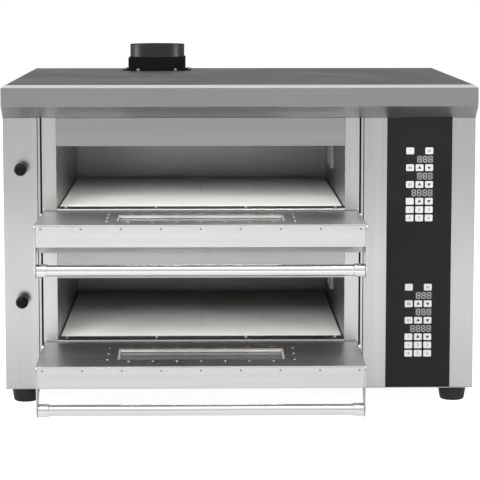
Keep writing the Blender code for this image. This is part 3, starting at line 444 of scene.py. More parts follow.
# Where the stones turn from pale to the dark colour, which is part browning and part painted shade.
darkens_at = (stone_low.y + BROWN_AND_SHADE_FROM, stone_high.y + BROWN_AND_SHADE_PAST)
finish["stone"] = baking_stone((0.90, 0.89, 0.855), (0.36, 0.35, 0.29), *darkens_at)
finish["pane"] = glass("window_glass", (0.62, 0.64, 0.63), 0.10)
finish["lens"] = glass("lamp_glass", (0.92, 0.92, 0.88), 0.35)
print("stone darkens from y", round(darkens_at[0], 3), "to", round(darkens_at[1], 3))

# %% [markdown]
# Every piece ends the same way: it becomes an object at the origin, takes its finish, and rides on
# the body that carries it. One function does that. A second one places shapes in a closed door's
# own frame, because both doors are drawn open and the same detail has to land on each.

# %% Making a piece
SMOOTH_ANGLE = math.radians(32)
STOOD_UP = Matrix.Rotation(math.radians(90), 4, "X")
SIDEWAYS = Matrix.Rotation(math.radians(90), 4, "Z")


def new_piece(name, bm, look, body, stands_for=(), smooth=False):
    mesh = as_mesh(name, bm)
    if smooth:
        mesh.shade_smooth()
        mesh.set_sharp_from_angle(angle=SMOOTH_ANGLE)
    mesh.materials.append(finish[look])
    piece = bpy.data.objects.new(name, mesh)
    scene.collection.objects.link(piece)
    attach(piece, body)
    if stands_for:
        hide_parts(*stands_for)
    return piece


def dress(look, *names):
    """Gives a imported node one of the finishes."""
    for name in names:
        node = nodes[name]
        node.data.materials.clear()
        node.data.materials.append(finish[look])


door_frame = {}
for deck in DECKS:
    hinge = next(j for j in frame["joints"] if j["name"] == f"{deck}_door_hinge")
    opened = Matrix.Rotation(math.radians(hinge["range_deg"][1]), 4, "X")
    door_frame[deck] = Matrix.Translation(hinge["pos_m"]) @ opened
    print(deck, "door hangs at", hinge["pos_m"])

# %% [markdown]
# Folded sheet never has a knife edge: each bend and cut has a small radius that catches a line of
# light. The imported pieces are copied, their loose triangles are merged and flat areas dissolved,
# and then only the outward edges are rounded. The copy stands for its node at the same size.

# %% Rounded sheet pieces
ROUNDED_ANGLE, FLAT_ANGLE, SAME_POINT = math.radians(28), math.radians(1), 0.00001


def home_of(node):
    """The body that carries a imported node."""
    bodies = frame["record"]["behaviour"]["bodies"]
    return next(body for body, names in bodies.items() if node in names)


def round_edges(bm, edges, radius, segments=2):
    return bmesh.ops.bevel(bm, geom=edges, offset=radius, offset_type="OFFSET", segments=segments,
                           profile=0.5, affect="EDGES", material=-1, clamp_overlap=True)["faces"]


def rounded_copy(node, radius, look, segments=2):
    bm = bmesh.new()
    bm.from_mesh(nodes[node].data)
    bmesh.ops.remove_doubles(bm, verts=bm.verts, dist=SAME_POINT)
    bmesh.ops.dissolve_limit(bm, angle_limit=FLAT_ANGLE, verts=bm.verts, edges=bm.edges)
    edges = [e for e in bm.edges if len(e.link_faces) == 2 and e.is_convex
             and e.calc_face_angle() > ROUNDED_ANGLE]
    for face in bm.faces:
        face.smooth = False
    for face in round_edges(bm, edges, radius, segments):
        face.smooth = True
    return new_piece(f"{node}_folded", bm, look, home_of(node), (node,))


SHEET_PIECES = (
    (0.0006, "hood", "hood_steel", ("top_cover",)),
    (0.0006, "column", "casing_steel", ("left_column", "centre_column", "right_column")),
    (0.0005, "jamb", "jamb_steel", ("left_jamb", "right_jamb")),
    (0.0005, "level", "casing_steel", ("upper_lintel", "middle_lintel", "plinth")),
    (0.0004, "side", "casing_steel", ("left_side_panel", "right_side_panel", "rear_cover", "base_pan")),
    (0.0005, "panel", "black_panel", ("control_panel",)),
    (0.0006, "paint", "black_paint", ("flue_base",)))
for radius, look, slot, names in SHEET_PIECES:
    for name in names:
        rounded_copy(name, radius, look)
for deck in DECKS:
    rounded_copy(f"{deck}_lamp_housing", 0.0012, "chamber", segments=3)
    rounded_copy(f"{deck}_door_shell", 0.0006, "door")
    rounded_copy(f"{deck}_door_inner_panel", 0.0004, "inner")
    for side in ("left", "right"):
        rounded_copy(f"{deck}_stone_{side}", 0.0012, "stone", segments=3)
        rounded_copy(f"{deck}_bracket_{side}", 0.0005, "door")
    dress("chamber", f"{deck}_chamber_liner")
    dress("pane", f"{deck}_door_glass")
    dress("film", f"{deck}_keypad")
    dress("element", f"{deck}_top_element", f"{deck}_bottom_element")
    dress("screw", f"{deck}_vent_rod")
dress("chamber", "flue_riser")
dress("wool", "bottom_insulation", "middle_insulation", "top_insulation")
dress("side", "electrical_plate")
dress("board", "control_board")
dress("foot", "terminal_block", "cable_gland")

# %% [markdown]
# The threshold is folded round a larger former than the casing, so that a peel slides over it. Its
# bend is the bright line under each stone. It is drawn again as a bent profile and extruded.

# %% Threshold bends
BEND_R, BEND_STEPS, SHELF_SHEET = 0.0042, 8, 0.0015


def extruded(bm, faces, along):
    """Pulls flat faces along a vector, which makes them one closed shape."""
    swept = bmesh.ops.extrude_face_region(bm, geom=faces)["geom"]
    moved = [g for g in swept if isinstance(g, bmesh.types.BMVert)]
    bmesh.ops.translate(bm, vec=along, verts=moved)
    bmesh.ops.recalc_face_normals(bm, faces=bm.faces)


def add_threshold(deck):
    low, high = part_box(f"{deck}_threshold")
    outer, inner = [], []
    for step in range(BEND_STEPS + 1):
        turn = math.pi / 2 * step / BEND_STEPS
        away = Vector((0, -math.cos(turn), math.sin(turn)))
        middle = Vector((low.x, low.y + BEND_R, high.z - BEND_R))
        outer.append(middle + away * BEND_R)
        inner.append(middle + away * (BEND_R - SHELF_SHEET))
    foot = [Vector((low.x, low.y + SHELF_SHEET, low.z)), Vector((low.x, low.y, low.z))]
    rear = [Vector((low.x, high.y, high.z)), Vector((low.x, high.y, high.z - SHELF_SHEET))]
    bm = bmesh.new()
    face = bm.faces.new([bm.verts.new(p) for p in foot + outer + rear + inner[::-1]])
    extruded(bm, [face], (high.x - low.x, 0, 0))
    new_piece(f"{deck}_threshold_folded", bm, "threshold", "cabinet",
              (f"{deck}_threshold",), smooth=True)


for deck in DECKS:
    add_threshold(deck)
print("threshold bends of radius", BEND_R)

# %% [markdown]
# Round pieces were packed with few sides. Here each one is turned again from its profile with a
# full spin, the way a lathe or a tube mill would leave it, with small radii at every corner.

# %% Turned pieces
AXIS_X, AXIS_Y, AXIS_Z = Vector((1, 0, 0)), Vector((0, 1, 0)), Vector((0, 0, 1))
ROUND, FINE_ROUND, SMALL_ROUND = 64, 96, 48
CORNER_R = 0.0012
FERRULE_L, FERRULE_LIP, FERRULE_STEP, TUBE_WALL = 0.024, 0.0022, 0.0008, 0.0015
NECK_R, NECK_CORNER, KNOB_BORE_R, KNOB_BORE_L, BALL_STEPS = 0.0075, 0.0008, 0.0043, 0.012, 28
FOOT_TAPER, FOOT_CHAMFER, FOOT_RIM, FOOT_CORNER = 0.00425, 0.003, 0.004, 0.002
FLUE_WALL, FLUE_TUBE_IN, FLUE_RIM, RIM_START = 0.002, 0.0003, 0.004, 0.006
BEAD_TUCK, BEAD_AT, BEAD_TOP = 0.0006, 0.0016, 0.004


def turned(profile, axis, centre, steps):
    """Spins (radius, distance) points about an axis through centre, as one closed shape."""
    side = AXIS_Z if axis == AXIS_X else AXIS_X
    bm = bmesh.new()
    verts = [bm.verts.new(Vector(centre) + side * r + axis * a) for r, a in profile]
    edges = [bm.edges.new(pair) for pair in zip(verts, verts[1:])]
    bmesh.ops.spin(bm, geom=verts + edges, cent=centre, axis=axis, angle=2 * math.pi,
                   steps=steps, use_merge=True)
    bmesh.ops.remove_doubles(bm, verts=bm.verts, dist=1e-6)
    bmesh.ops.recalc_face_normals(bm, faces=bm.faces)
    return bm


def softened(profile, radius, steps=4):
    """Rounds the inner corners of a profile, leaving its two ends where they are."""
    points = [Vector(p) for p in profile]
    made = [points[0]]
    for before, corner, after in zip(points, points[1:], points[2:]):
        into, out = (before - corner), (after - corner)
        reach = min(radius, into.length * 0.45, out.length * 0.45)
        start, end = corner + into.normalized() * reach, corner + out.normalized() * reach
        for step in range(steps + 1):
            t = step / steps
            made.append(start * (1 - t) ** 2 + corner * 2 * t * (1 - t) + end * t * t)
    return [tuple(p) for p in made + [points[-1]]]


def add_handle(deck):
    """A polished tube with a ferrule pressed on either end."""
    low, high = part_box(f"{deck}_handle_bar")
    half, radius = (high.x - low.x) / 2, (high.z - low.z) / 2
    tube_r = radius - FERRULE_LIP
    bore_r = tube_r - TUBE_WALL
    ferrule = half - FERRULE_L
    tube = ferrule - FERRULE_STEP
    profile = softened([(bore_r, -half), (radius, -half), (radius, -ferrule), (tube_r, -tube),
                        (tube_r, tube), (radius, ferrule), (radius, half), (bore_r, half)], CORNER_R)
    profile.append(profile[0])
    bm = turned(profile, AXIS_X, (low + high) / 2, ROUND)
    new_piece(f"{deck}_handle_tube", bm, "handle", f"{deck}_door",
              (f"{deck}_handle_bar",), smooth=True)


def add_knob(deck):
    """A phenolic ball with a turned neck, as steam dampers have."""
    low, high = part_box(f"{deck}_vent_knob")
    radius = (high.z - low.z) / 2
    ball_y = low.y + radius
    centre = Vector(((low.x + high.x) / 2, ball_y, (low.z + high.z) / 2))
    face = high.y - ball_y
    bore_end = face - KNOB_BORE_L
    start = math.acos(NECK_R / radius)
    neck = softened([(KNOB_BORE_R, bore_end), (KNOB_BORE_R, face), (NECK_R, face),
                     (NECK_R, radius * math.sin(start))], NECK_CORNER)
    profile = [(0, bore_end), *neck]
    for step in range(1, BALL_STEPS + 1):
        turn = start + (-math.pi / 2 - start) * step / BALL_STEPS
        profile.append((max(radius * math.cos(turn), 0), radius * math.sin(turn)))
    bm = turned(profile, AXIS_Y, centre, SMALL_ROUND)
    new_piece(f"{deck}_vent_ball", bm, "knob", f"{deck}_vent",
              (f"{deck}_vent_knob",), smooth=True)


def add_foot(name):
    low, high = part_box(name)
    top_r, height = (high.x - low.x) / 2, high.z - low.z
    end_r = top_r - FOOT_TAPER
    profile = softened([(0, 0), (end_r - FOOT_CHAMFER, 0), (end_r, FOOT_CHAMFER),
                        (top_r, height - FOOT_RIM), (top_r, height), (0, height)], FOOT_CORNER)
    bm = turned(profile, AXIS_Z, ((low.x + high.x) / 2, (low.y + high.y) / 2, low.z), ROUND)
    new_piece(f"{name}_moulding", bm, "foot", "cabinet", (name,), smooth=True)


def add_flue_tube():
    """A rolled spigot with a rounded rim and a weld bead round its foot."""
    low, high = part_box("flue_collar")
    radius, height = (high.x - low.x) / 2, high.z - low.z
    bore_r, tube_r = radius - FLUE_WALL, radius - FLUE_TUBE_IN
    profile = softened([(bore_r, 0), (radius - BEAD_TUCK, 0), (radius, BEAD_AT), (tube_r, BEAD_TOP),
                        (tube_r, height - RIM_START), (radius, height - FLUE_RIM),
                        (radius, height), (bore_r, height)], CORNER_R)
    profile.append(profile[0])
    bm = turned(profile, AXIS_Z, ((low.x + high.x) / 2, (low.y + high.y) / 2, low.z), FINE_ROUND)
    new_piece("flue_spigot", bm, "gloss", "cabinet", ("flue_collar",), smooth=True)


for deck in DECKS:
    add_handle(deck)
    add_knob(deck)
for end in ("front", "rear"):
    for side in ("left", "right"):
        add_foot(f"foot_{end}_{side}")
add_flue_tube()
print("turned 9 pieces")

# %% [markdown]
# Screws tell the eye how the oven is built, and they repeat a hundred times, so one small head is
# modelled with a few dozen faces and copied to each place. A matrix turns it to face outwards. The
# door's own frame makes the rows easy: they are laid out on a closed door and come out open.

# %% Screws
HEAD_TAPER, RIM_SHARE, RIM_RISE = 0.86, 0.18, 0.22
SOCKET_SHARE, SOCKET_SLOPE, SOCKET_DEEP = 0.22, 0.04, 0.7
INNER_FACE, PANEL_PITCH, PANEL_ROWS = 0.0150, 0.0544, (0.038, 0.172)
PANEL_END_X, PANEL_END_ROWS = 0.212, (0.049, 0.102, 0.157)
EDGE_PITCH, EDGE_BACK = 0.0887, 0.0093
SHELF_PITCH, SHELF_BACK = 0.1055, 0.028
LINER_WALL, LINER_BACK, LINER_ROWS = 0.0015, 0.012, (0.075, 0.129)


def screw_head(radius, height):
    """A low domed head with a round socket sunk in it, standing on z = 0."""
    bm = bmesh.new()
    bmesh.ops.create_cone(bm, cap_ends=True, segments=16, radius1=radius, radius2=radius * HEAD_TAPER,
                          depth=height, matrix=Matrix.Translation((0, 0, height / 2)))
    top = max(bm.faces, key=lambda f: f.calc_center_median().z)
    bmesh.ops.inset_region(bm, faces=[top], thickness=radius * RIM_SHARE)
    bmesh.ops.translate(bm, vec=(0, 0, height * RIM_RISE), verts=top.verts)
    bmesh.ops.inset_region(bm, faces=[top], thickness=radius * SOCKET_SHARE)
    bmesh.ops.inset_region(bm, faces=[top], thickness=radius * SOCKET_SLOPE)
    bmesh.ops.translate(bm, vec=(0, 0, -height * SOCKET_DEEP), verts=top.verts)
    return as_mesh("screw_head", bm)


def facing(place, direction):
    """A matrix that stands a shape on a surface at place, pointing along direction."""
    return Matrix.Translation(place) @ Vector(direction).to_track_quat("Z", "Y").to_matrix().to_4x4()


def repeated(name, shape, places, look="screw", body="cabinet"):
    """One piece made of a mesh copied to many places."""
    bm = bmesh.new()
    for place in places:
        first = len(bm.verts)
        bm.from_mesh(shape)
        bm.verts.ensure_lookup_table()
        bmesh.ops.transform(bm, matrix=place, verts=bm.verts[first:])
    return new_piece(name, bm, look, body, smooth=True)


small_head = screw_head(0.0032, 0.0006)
large_head = screw_head(0.0036, 0.0016)
tiny_head = screw_head(0.0024, 0.0005)
tall_head = screw_head(0.0036, 0.0026)
chamber_x = frame["joints"][0]["pos_m"][0]


def add_door_screws(deck, top):
    hang = door_frame[deck]
    rows = [(n * PANEL_PITCH, INNER_FACE, z) for z in PANEL_ROWS for n in range(-3, 4)]
    rows += [(side * PANEL_END_X, INNER_FACE, z) for side in (-1, 1) for z in PANEL_END_ROWS]
    heads = [hang @ facing(place, AXIS_Y) for place in rows]
    repeated(f"{deck}_panel_screws", small_head, heads, body=f"{deck}_door")
    edge = [hang @ facing((n * EDGE_PITCH, INNER_FACE - EDGE_BACK, top), AXIS_Z) for n in range(-4, 5)]
    repeated(f"{deck}_edge_screws", tiny_head, edge, "dull_screw", f"{deck}_door")


for deck in DECKS:
    corners = [door_frame[deck].inverted() @ v.co for v in nodes[f"{deck}_door_shell"].data.vertices]
    top = max(corner.z for corner in corners)
    add_door_screws(deck, top)
    stone_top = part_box(f"{deck}_stone_left")[1].z
    sheet = [facing((chamber_x + n * SHELF_PITCH, front_y + SHELF_BACK, stone_top), AXIS_Z)
             for n in (-3, -1, 1, 3)]
    liner_low, liner_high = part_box(f"{deck}_chamber_liner")
    walls = [facing((x, front_y + LINER_BACK, stone_top + up), (turn, 0, 0))
             for x, turn in ((liner_low.x + LINER_WALL, 1), (liner_high.x - LINER_WALL, -1))
             for up in LINER_ROWS]
    repeated(f"{deck}_threshold_screws", tall_head, sheet)
    repeated(f"{deck}_liner_screws", small_head, walls)
    print(deck, "door top at", round(top, 4))

# %% [markdown]
# The casing is screwed from outside where a fitter has to reach in: the rear cover all round, and
# the flue's flange on its tabs.

# %% Casing screws
COVER_EDGE, COVER_ACROSS, COVER_UP = 0.012, 6, 5
TAB_IN, TAB_TOP, TAB_APART = 0.0075, 0.0015, 0.049


def spaced(start, end, count):
    return [start + (end - start) * n / (count - 1) for n in range(count)]


low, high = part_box("rear_cover")
sides = (low.x + COVER_EDGE, high.x - COVER_EDGE)
levels = (low.z + COVER_EDGE, high.z - COVER_EDGE)
rear_places = [(x, high.y, z) for z in levels for x in spaced(*sides, COVER_ACROSS)]
rear_places += [(x, high.y, z) for x in sides for z in spaced(*levels, COVER_UP)[1:-1]]
repeated("rear_cover_screws", large_head, [facing(p, AXIS_Y) for p in rear_places])
low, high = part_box("flue_base")
middle = (low + high) / 2
flue_places = [(middle.x + side * TAB_APART, y, low.z + TAB_TOP)
               for y in (low.y + TAB_IN, high.y - TAB_IN) for side in (-1, 1)]
flue_places += [(x, middle.y, low.z + TAB_TOP) for x in (low.x + TAB_IN, high.x - TAB_IN)]
repeated("flue_screws", screw_head(0.0046, 0.0034), [facing(p, AXIS_Z) for p in flue_places],
         "dull_screw")
print(len(rear_places), "rear screws and", len(flue_places), "flue screws")

# %% [markdown]
# The hinge side of each door shows in the grooves beside the jambs. A narrow strip closes each
# groove a little way in, so that light falls on a grey surface there and the cabinet stays shut.

# %% Groove strips
STRIP_GAP, STRIP_W, STRIP_BACK, STRIP_T, STRIP_R = 0.0010, 0.0054, 0.005, 0.0012, 0.0004


def cuboid(bm, centre, size):
    """Adds a box and returns its verts."""
    made = bmesh.ops.create_cube(bm, size=1.0)["verts"]
    bmesh.ops.scale(bm, vec=size, verts=made)
    bmesh.ops.translate(bm, vec=centre, verts=made)
    return made


jamb_low, jamb_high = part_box("left_jamb")
grooves = {"left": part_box("left_column")[1].x + STRIP_GAP,
           "right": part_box("centre_column")[0].x - STRIP_GAP - STRIP_W}
for side, x in grooves.items():
    bm = bmesh.new()
    middle = (x + STRIP_W / 2, front_y + STRIP_BACK + STRIP_T / 2, (jamb_low.z + jamb_high.z) / 2)
    cuboid(bm, middle, (STRIP_W, STRIP_T, jamb_high.z - jamb_low.z))
    round_edges(bm, bm.edges[:], STRIP_R)
    new_piece(f"{side}_groove_strip", bm, "column", "cabinet")
print("groove strips", grooves)

# %% [markdown]
# The door pane sits in a shallow well, bedded on woven glass-fibre tape that shows as a pale
# fuzzy rim. A flat ring is extruded and cut into short lengths, then pushed about by a little
# noise, because a woven tape has no straight edge. A fixed seed gives the same tape each run.

# %% Window gaskets
GASKET_W, GASKET_H, TAPE = 0.3796, 0.1012, 0.0042
GASKET_AT = Vector((0, 0.0082, 0.10475))
FUZZ, FUZZ_SCALE, CUTS, LONG_EDGE = 0.0003, 300, 60, 0.05
noise.seed_set(1)


def flat_ring(width, height, wall, thickness):
    """A flat rectangular ring in X and Z, thickness deep along Y."""
    bm = bmesh.new()
    corners = ((-0.5, -0.5), (0.5, -0.5), (0.5, 0.5), (-0.5, 0.5))
    outer = [bm.verts.new((x * width, 0, z * height)) for x, z in corners]
    inner = [bm.verts.new((x * (width - 2 * wall), 0, z * (height - 2 * wall))) for x, z in corners]
    for first, second in ((0, 1), (1, 2), (2, 3), (3, 0)):
        bm.faces.new((outer[first], outer[second], inner[second], inner[first]))
    extruded(bm, bm.faces[:], (0, thickness, 0))
    return bm


for deck in DECKS:
    bm = flat_ring(GASKET_W, GASKET_H, TAPE, TAPE)
    long_edges = [e for e in bm.edges if e.calc_length() > LONG_EDGE]
    bmesh.ops.subdivide_edges(bm, edges=long_edges, cuts=CUTS, use_grid_fill=True)
    for vert in bm.verts:
        vert.co += FUZZ * noise.noise_vector(vert.co * FUZZ_SCALE) + GASKET_AT
    bmesh.ops.transform(bm, matrix=door_frame[deck], verts=bm.verts)
    new_piece(f"{deck}_window_gasket", bm, "gasket", f"{deck}_door", smooth=True)
print("gaskets placed")

# %% [markdown]
# Each deck has its own membrane keypad. Keys are printed pale on a black film, so they are modelled
# as thin raised plates with rounded corners. Three windows show unlit seven-segment digits, which
# are small pointed bars. The marks on the keys are arrows, plain numbers and groups of short bars.

# %% Keypads
KEY_W, KEY_H, KEY_T, KEY_CORNER = 0.0183, 0.0157, 0.0004, 0.0022
KEY_PITCH_X, KEY_PITCH_Z, FIRST_ROW = 0.0223, 0.0197, 0.0105
DIGIT_H, DIGIT_W, DIGIT_PITCH, SEGMENT = 0.0132, 0.0078, 0.0126, 0.0017
WINDOW_H, WINDOW_MARGIN, WINDOW_CORNER, FILM_T = 0.0172, 0.0006, 0.0010, 0.0002
MARK_T, MARK_CORNER, ARROW_R, FIGURE_H = 0.00016, 0.0005, 0.0050, 0.0095
BARS, BAR_GAP = (0.0011, 0.0070), 0.0030
LINES, LINE_GAP = (0.0090, 0.0010), 0.0022
TICK, TICK_UP, TICK_CORNER = (0.0009, 0.0040), 0.0020, 0.0004


def plate(bm, centre, size, corner, deep, segments=4):
    """A thin plate facing the front, its corners rounded in its own plane."""
    made = cuboid(bm, centre, (size[0], deep, size[1]))
    corners = [e for e in {e for v in made for e in v.link_edges}
               if abs(e.verts[0].co.y - e.verts[1].co.y) > deep / 2]
    round_edges(bm, corners, corner, segments)


def digit(bm, centre):
    """Seven bars of an unlit figure eight, each brought to a point at both ends."""
    x, y, z = centre
    half_w, half_h = DIGIT_W / 2, DIGIT_H / 2
    level = [((x, y, z + up), (DIGIT_W - SEGMENT, SEGMENT)) for up in (-half_h, 0, half_h)]
    upright = [((x + side, y, z + up), (SEGMENT, half_h - SEGMENT * 0.4))
               for side in (-half_w, half_w) for up in (-half_h / 2, half_h / 2)]
    for middle, size in level + upright:
        plate(bm, middle, size, SEGMENT * 0.49, FILM_T, segments=1)


def arrow(bm, centre, up):
    spin = Matrix.Rotation(math.radians(0 if up else 180), 4, "Y")
    bmesh.ops.create_cone(bm, cap_ends=True, segments=3, radius1=ARROW_R, radius2=ARROW_R,
                          depth=MARK_T, matrix=Matrix.Translation(centre) @ spin @ STOOD_UP)


def baked(curve):
    """The mesh of a curve or of a text, which is then thrown away."""
    holder = bpy.data.objects.new("holder", curve)
    mesh = bpy.data.meshes.new_from_object(holder)
    bpy.data.objects.remove(holder)
    bpy.data.curves.remove(curve)
    return mesh


def number(bm, text, centre):
    """A plain figure: text made into a mesh, then moved to its key."""
    curve = bpy.data.curves.new("figure", "FONT")
    curve.body, curve.size, curve.extrude = text, FIGURE_H, MARK_T / 2
    curve.align_x, curve.align_y = "CENTER", "CENTER"
    before = set(bm.verts)
    bm.from_mesh(baked(curve))
    onto_key = Matrix.Translation(centre) @ STOOD_UP
    bmesh.ops.transform(bm, matrix=onto_key, verts=[v for v in bm.verts if v not in before])


def symbol(bm, kind, centre):
    """Plain marks made of short bars: three upright, three level, or a single tick."""
    x, y, z = centre
    if kind == "tick":
        plate(bm, (x, y - MARK_T / 2, z + TICK_UP), TICK, TICK_CORNER, MARK_T)
        return
    for step in (-1, 0, 1):
        if kind == "bars":
            plate(bm, (x + step * BAR_GAP, y, z), BARS, MARK_CORNER, MARK_T)
        else:
            plate(bm, (x, y, z + step * LINE_GAP), LINES, MARK_CORNER, MARK_T)


LAYOUT = (("tick", None, "bars"), 3, ("lines", "up", "down"), 3, ("bars", "up", "down"), 4,
          ("tick", "up", "down"), ("1", "2", "3"), ("4", "5", "6"))


def add_keypad(deck):
    low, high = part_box(f"{deck}_keypad")
    middle_x = (low.x + high.x) / 2
    right_x = middle_x + KEY_PITCH_X + KEY_W / 2
    key_y = low.y - KEY_T / 2
    mark_y = low.y - KEY_T - MARK_T / 2
    keys, marks, windows, bars = bmesh.new(), bmesh.new(), bmesh.new(), bmesh.new()
    for row, content in enumerate(LAYOUT):
        z = high.z - FIRST_ROW - row * KEY_PITCH_Z
        if isinstance(content, int):
            first_x = right_x - DIGIT_PITCH * (content - 0.5)
            window_w = content * DIGIT_PITCH + 2 * WINDOW_MARGIN
            plate(windows, (right_x + WINDOW_MARGIN - window_w / 2, low.y - FILM_T / 2, z),
                  (window_w, WINDOW_H), WINDOW_CORNER, FILM_T)
            for n in range(content):
                digit(bars, (first_x + n * DIGIT_PITCH, low.y - FILM_T * 1.5, z))
            continue
        for column, kind in enumerate(content):
            if kind is None:
                continue
            x = middle_x + (column - 1) * KEY_PITCH_X
            plate(keys, (x, key_y, z), (KEY_W, KEY_H), KEY_CORNER, KEY_T)
            if kind in ("up", "down"):
                arrow(marks, (x, mark_y, z), kind == "up")
            elif kind.isdigit():
                number(marks, kind, (x, mark_y, z))
            else:
                symbol(marks, kind, (x, mark_y, z))
    new_piece(f"{deck}_keys", keys, "key", "cabinet")
    new_piece(f"{deck}_key_marks", marks, "print", "cabinet")
    new_piece(f"{deck}_displays", windows, "display", "cabinet")
    new_piece(f"{deck}_digits", bars, "segment", "cabinet")


for deck in DECKS:
    add_keypad(deck)
key_rows = [row for row in LAYOUT if not isinstance(row, int)]
print("keypads with", sum(kind is not None for row in key_rows for kind in row), "keys each")

# %% [markdown]
# Brackets are screwed to the door's ends, and one larger screw runs through each into the handle.
# They sit on the outside, so they are seen from the side and as thin edges from the front.

# %% Bracket screws
BRACKET_ROWS, BRACKET_SCREW_Y = (0.085, 0.145, 0.200), -0.008
handle_head = screw_head(0.0060, 0.0024)
for deck in DECKS:
    hang = door_frame[deck]
    reach = max((hang.inverted() @ v.co).x for v in nodes[f"{deck}_bracket_right"].data.vertices)
    low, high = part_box(f"{deck}_handle_bar")
    handle_at = hang.inverted() @ ((low + high) / 2)
    sides, through = [], []
    for side in (-1, 1):
        outwards = (side, 0, 0)
        for z in BRACKET_ROWS:
            sides.append(hang @ facing((side * reach, BRACKET_SCREW_Y, z), outwards))
        through.append(hang @ facing((side * reach, handle_at.y, handle_at.z), outwards))
    repeated(f"{deck}_bracket_screws", large_head, sides, "dull_screw", f"{deck}_door")
    repeated(f"{deck}_handle_screws", handle_head, through, body=f"{deck}_door")
print("bracket screws", len(sides), "and", len(through), "per door")

# %% [markdown]
# Air for the control electronics comes through pressed louvres. Each is a small scoop over its
# slot, made from a grid that is pushed out of the sheet and then given its thickness. On the side
# panel they are pressed inwards, which keeps the outside flush; on the rear they stand out.

# %% Louvres
LOUVRE_COUNT, LOUVRE_PITCH, LOUVRE_L, LOUVRE_H = 8, 0.022, 0.110, 0.006
LOUVRES_DOWN, LOUVRES_IN, LOUVRES_FROM_REAR, PANEL_GAP = 0.040, 0.020, 0.080, 0.0003
SCOOP_L, SCOOP_H, SCOOP_END, SCOOP_SHEET = LOUVRE_L + 0.008, LOUVRE_H + 0.006, 0.012, 0.0009
SCOOP_OFF, SCOOP_UP, REAR_SCOOP, SIDE_SCOOP = 0.0002, 0.002, 0.0050, 0.0060


def thicken(bm, thickness):
    bmesh.ops.recalc_face_normals(bm, faces=bm.faces)
    bmesh.ops.solidify(bm, geom=bm.faces[:], thickness=thickness)
    bmesh.ops.recalc_face_normals(bm, faces=bm.faces)


def scoop(depth):
    """A louvre scoop along X over a slot at z = 0 to LOUVRE_H, standing out along +Y."""
    bm = bmesh.new()
    bmesh.ops.create_grid(bm, x_segments=28, y_segments=8, size=0.5, matrix=STOOD_UP)
    bmesh.ops.scale(bm, vec=(SCOOP_L, 1, SCOOP_H), verts=bm.verts)
    for vert in bm.verts:
        fall = (0.5 - vert.co.z / SCOOP_H) * math.pi / 2
        along = min((SCOOP_L / 2 - abs(vert.co.x)) / SCOOP_END, 1.0)
        vert.co.y += depth * math.sin(fall) * math.sin(along * math.pi / 2)
    bmesh.ops.translate(bm, vec=(0, SCOOP_OFF, LOUVRE_H / 2 + SCOOP_UP), verts=bm.verts)
    thicken(bm, -SCOOP_SHEET)
    return as_mesh("scoop", bm)


first_louvre_z = jamb_high.z + PANEL_GAP - LOUVRE_COUNT * LOUVRE_PITCH - LOUVRES_DOWN
louvre_rows = [first_louvre_z + n * LOUVRE_PITCH for n in range(LOUVRE_COUNT)]
rear_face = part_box("rear_cover")[1].y
rear_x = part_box("control_panel")[0].x - PANEL_GAP + LOUVRES_IN + LOUVRE_L / 2
outside = [Matrix.Translation((rear_x, rear_face, z)) for z in louvre_rows]
repeated("rear_louvres", scoop(REAR_SCOOP), outside, "side", "cabinet")
side_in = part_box("right_side_panel")[0].x
side_y = rear_face - LOUVRES_FROM_REAR - LOUVRE_L / 2
inside = [Matrix.Translation((side_in, side_y, z)) @ SIDEWAYS for z in louvre_rows]
repeated("side_louvres", scoop(SIDE_SCOOP), inside, "side", "cabinet")
print("louvres from z", round(louvre_rows[0], 4), "to", round(louvre_rows[-1], 4))

# %% [markdown]
# The heating elements are steel tubes bent into runs under the ceiling and under the stones. They
# are swept again here along half turns of many short steps, so that no bend shows a corner. The
# curve is made a mesh at once, which leaves a plain piece at the origin.

# %% Heating elements
RUNS, TURN_STEPS, ELEMENT_FROM_WALL = 6, 18, 0.012


def element_route(low, high, right_wall):
    radius = (high.z - low.z) / 2
    pitch = (high.y - low.y - 2 * radius) / (RUNS - 1)
    z = (low.z + high.z) / 2
    first_y = low.y + radius
    turns_at = (low.x + radius + pitch / 2, right_wall - ELEMENT_FROM_WALL - pitch / 2)
    points = [Vector((high.x, first_y, z))]
    for run in range(RUNS - 1):
        middle_y = first_y + (run + 0.5) * pitch
        side, centre_x = ((-1, turns_at[0]), (1, turns_at[1]))[run % 2]
        for step in range(TURN_STEPS + 1):
            turn = math.pi * (step / TURN_STEPS - 0.5)
            points.append(Vector((centre_x + side * pitch / 2 * math.cos(turn),
                                  middle_y + pitch / 2 * math.sin(turn), z)))
    points.append(Vector((high.x, first_y + (RUNS - 1) * pitch, z)))
    return points, radius


def tube_mesh(points, radius, sides=3):
    curve = bpy.data.curves.new("route", "CURVE")
    curve.dimensions, curve.use_fill_caps = "3D", True
    curve.bevel_depth, curve.bevel_resolution = radius, sides
    spline = curve.splines.new("POLY")
    spline.points.add(len(points) - 1)
    for point, place in zip(spline.points, points):
        point.co = (*place, 1)
    bm = bmesh.new()
    bm.from_mesh(baked(curve))
    bmesh.ops.remove_doubles(bm, verts=bm.verts, dist=0.000001)
    bmesh.ops.recalc_face_normals(bm, faces=bm.faces)
    return bm


for deck in DECKS:
    right_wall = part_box(f"{deck}_chamber_liner")[1].x - LINER_WALL
    for place in ("top", "bottom"):
        points, radius = element_route(*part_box(f"{deck}_{place}_element"), right_wall)
        new_piece(f"{deck}_{place}_heater", tube_mesh(points, radius), "element", "cabinet",
                  (f"{deck}_{place}_element",), smooth=True)
print("element runs", RUNS, "points", len(points))

# %% [markdown]
# A lamp behind heat-proof glass lights each chamber from its right wall. The housing gets a raised
# bezel, a slightly domed pane and four screws. The cable gland behind is turned again, with a
# six-sided nut that a spanner fits.

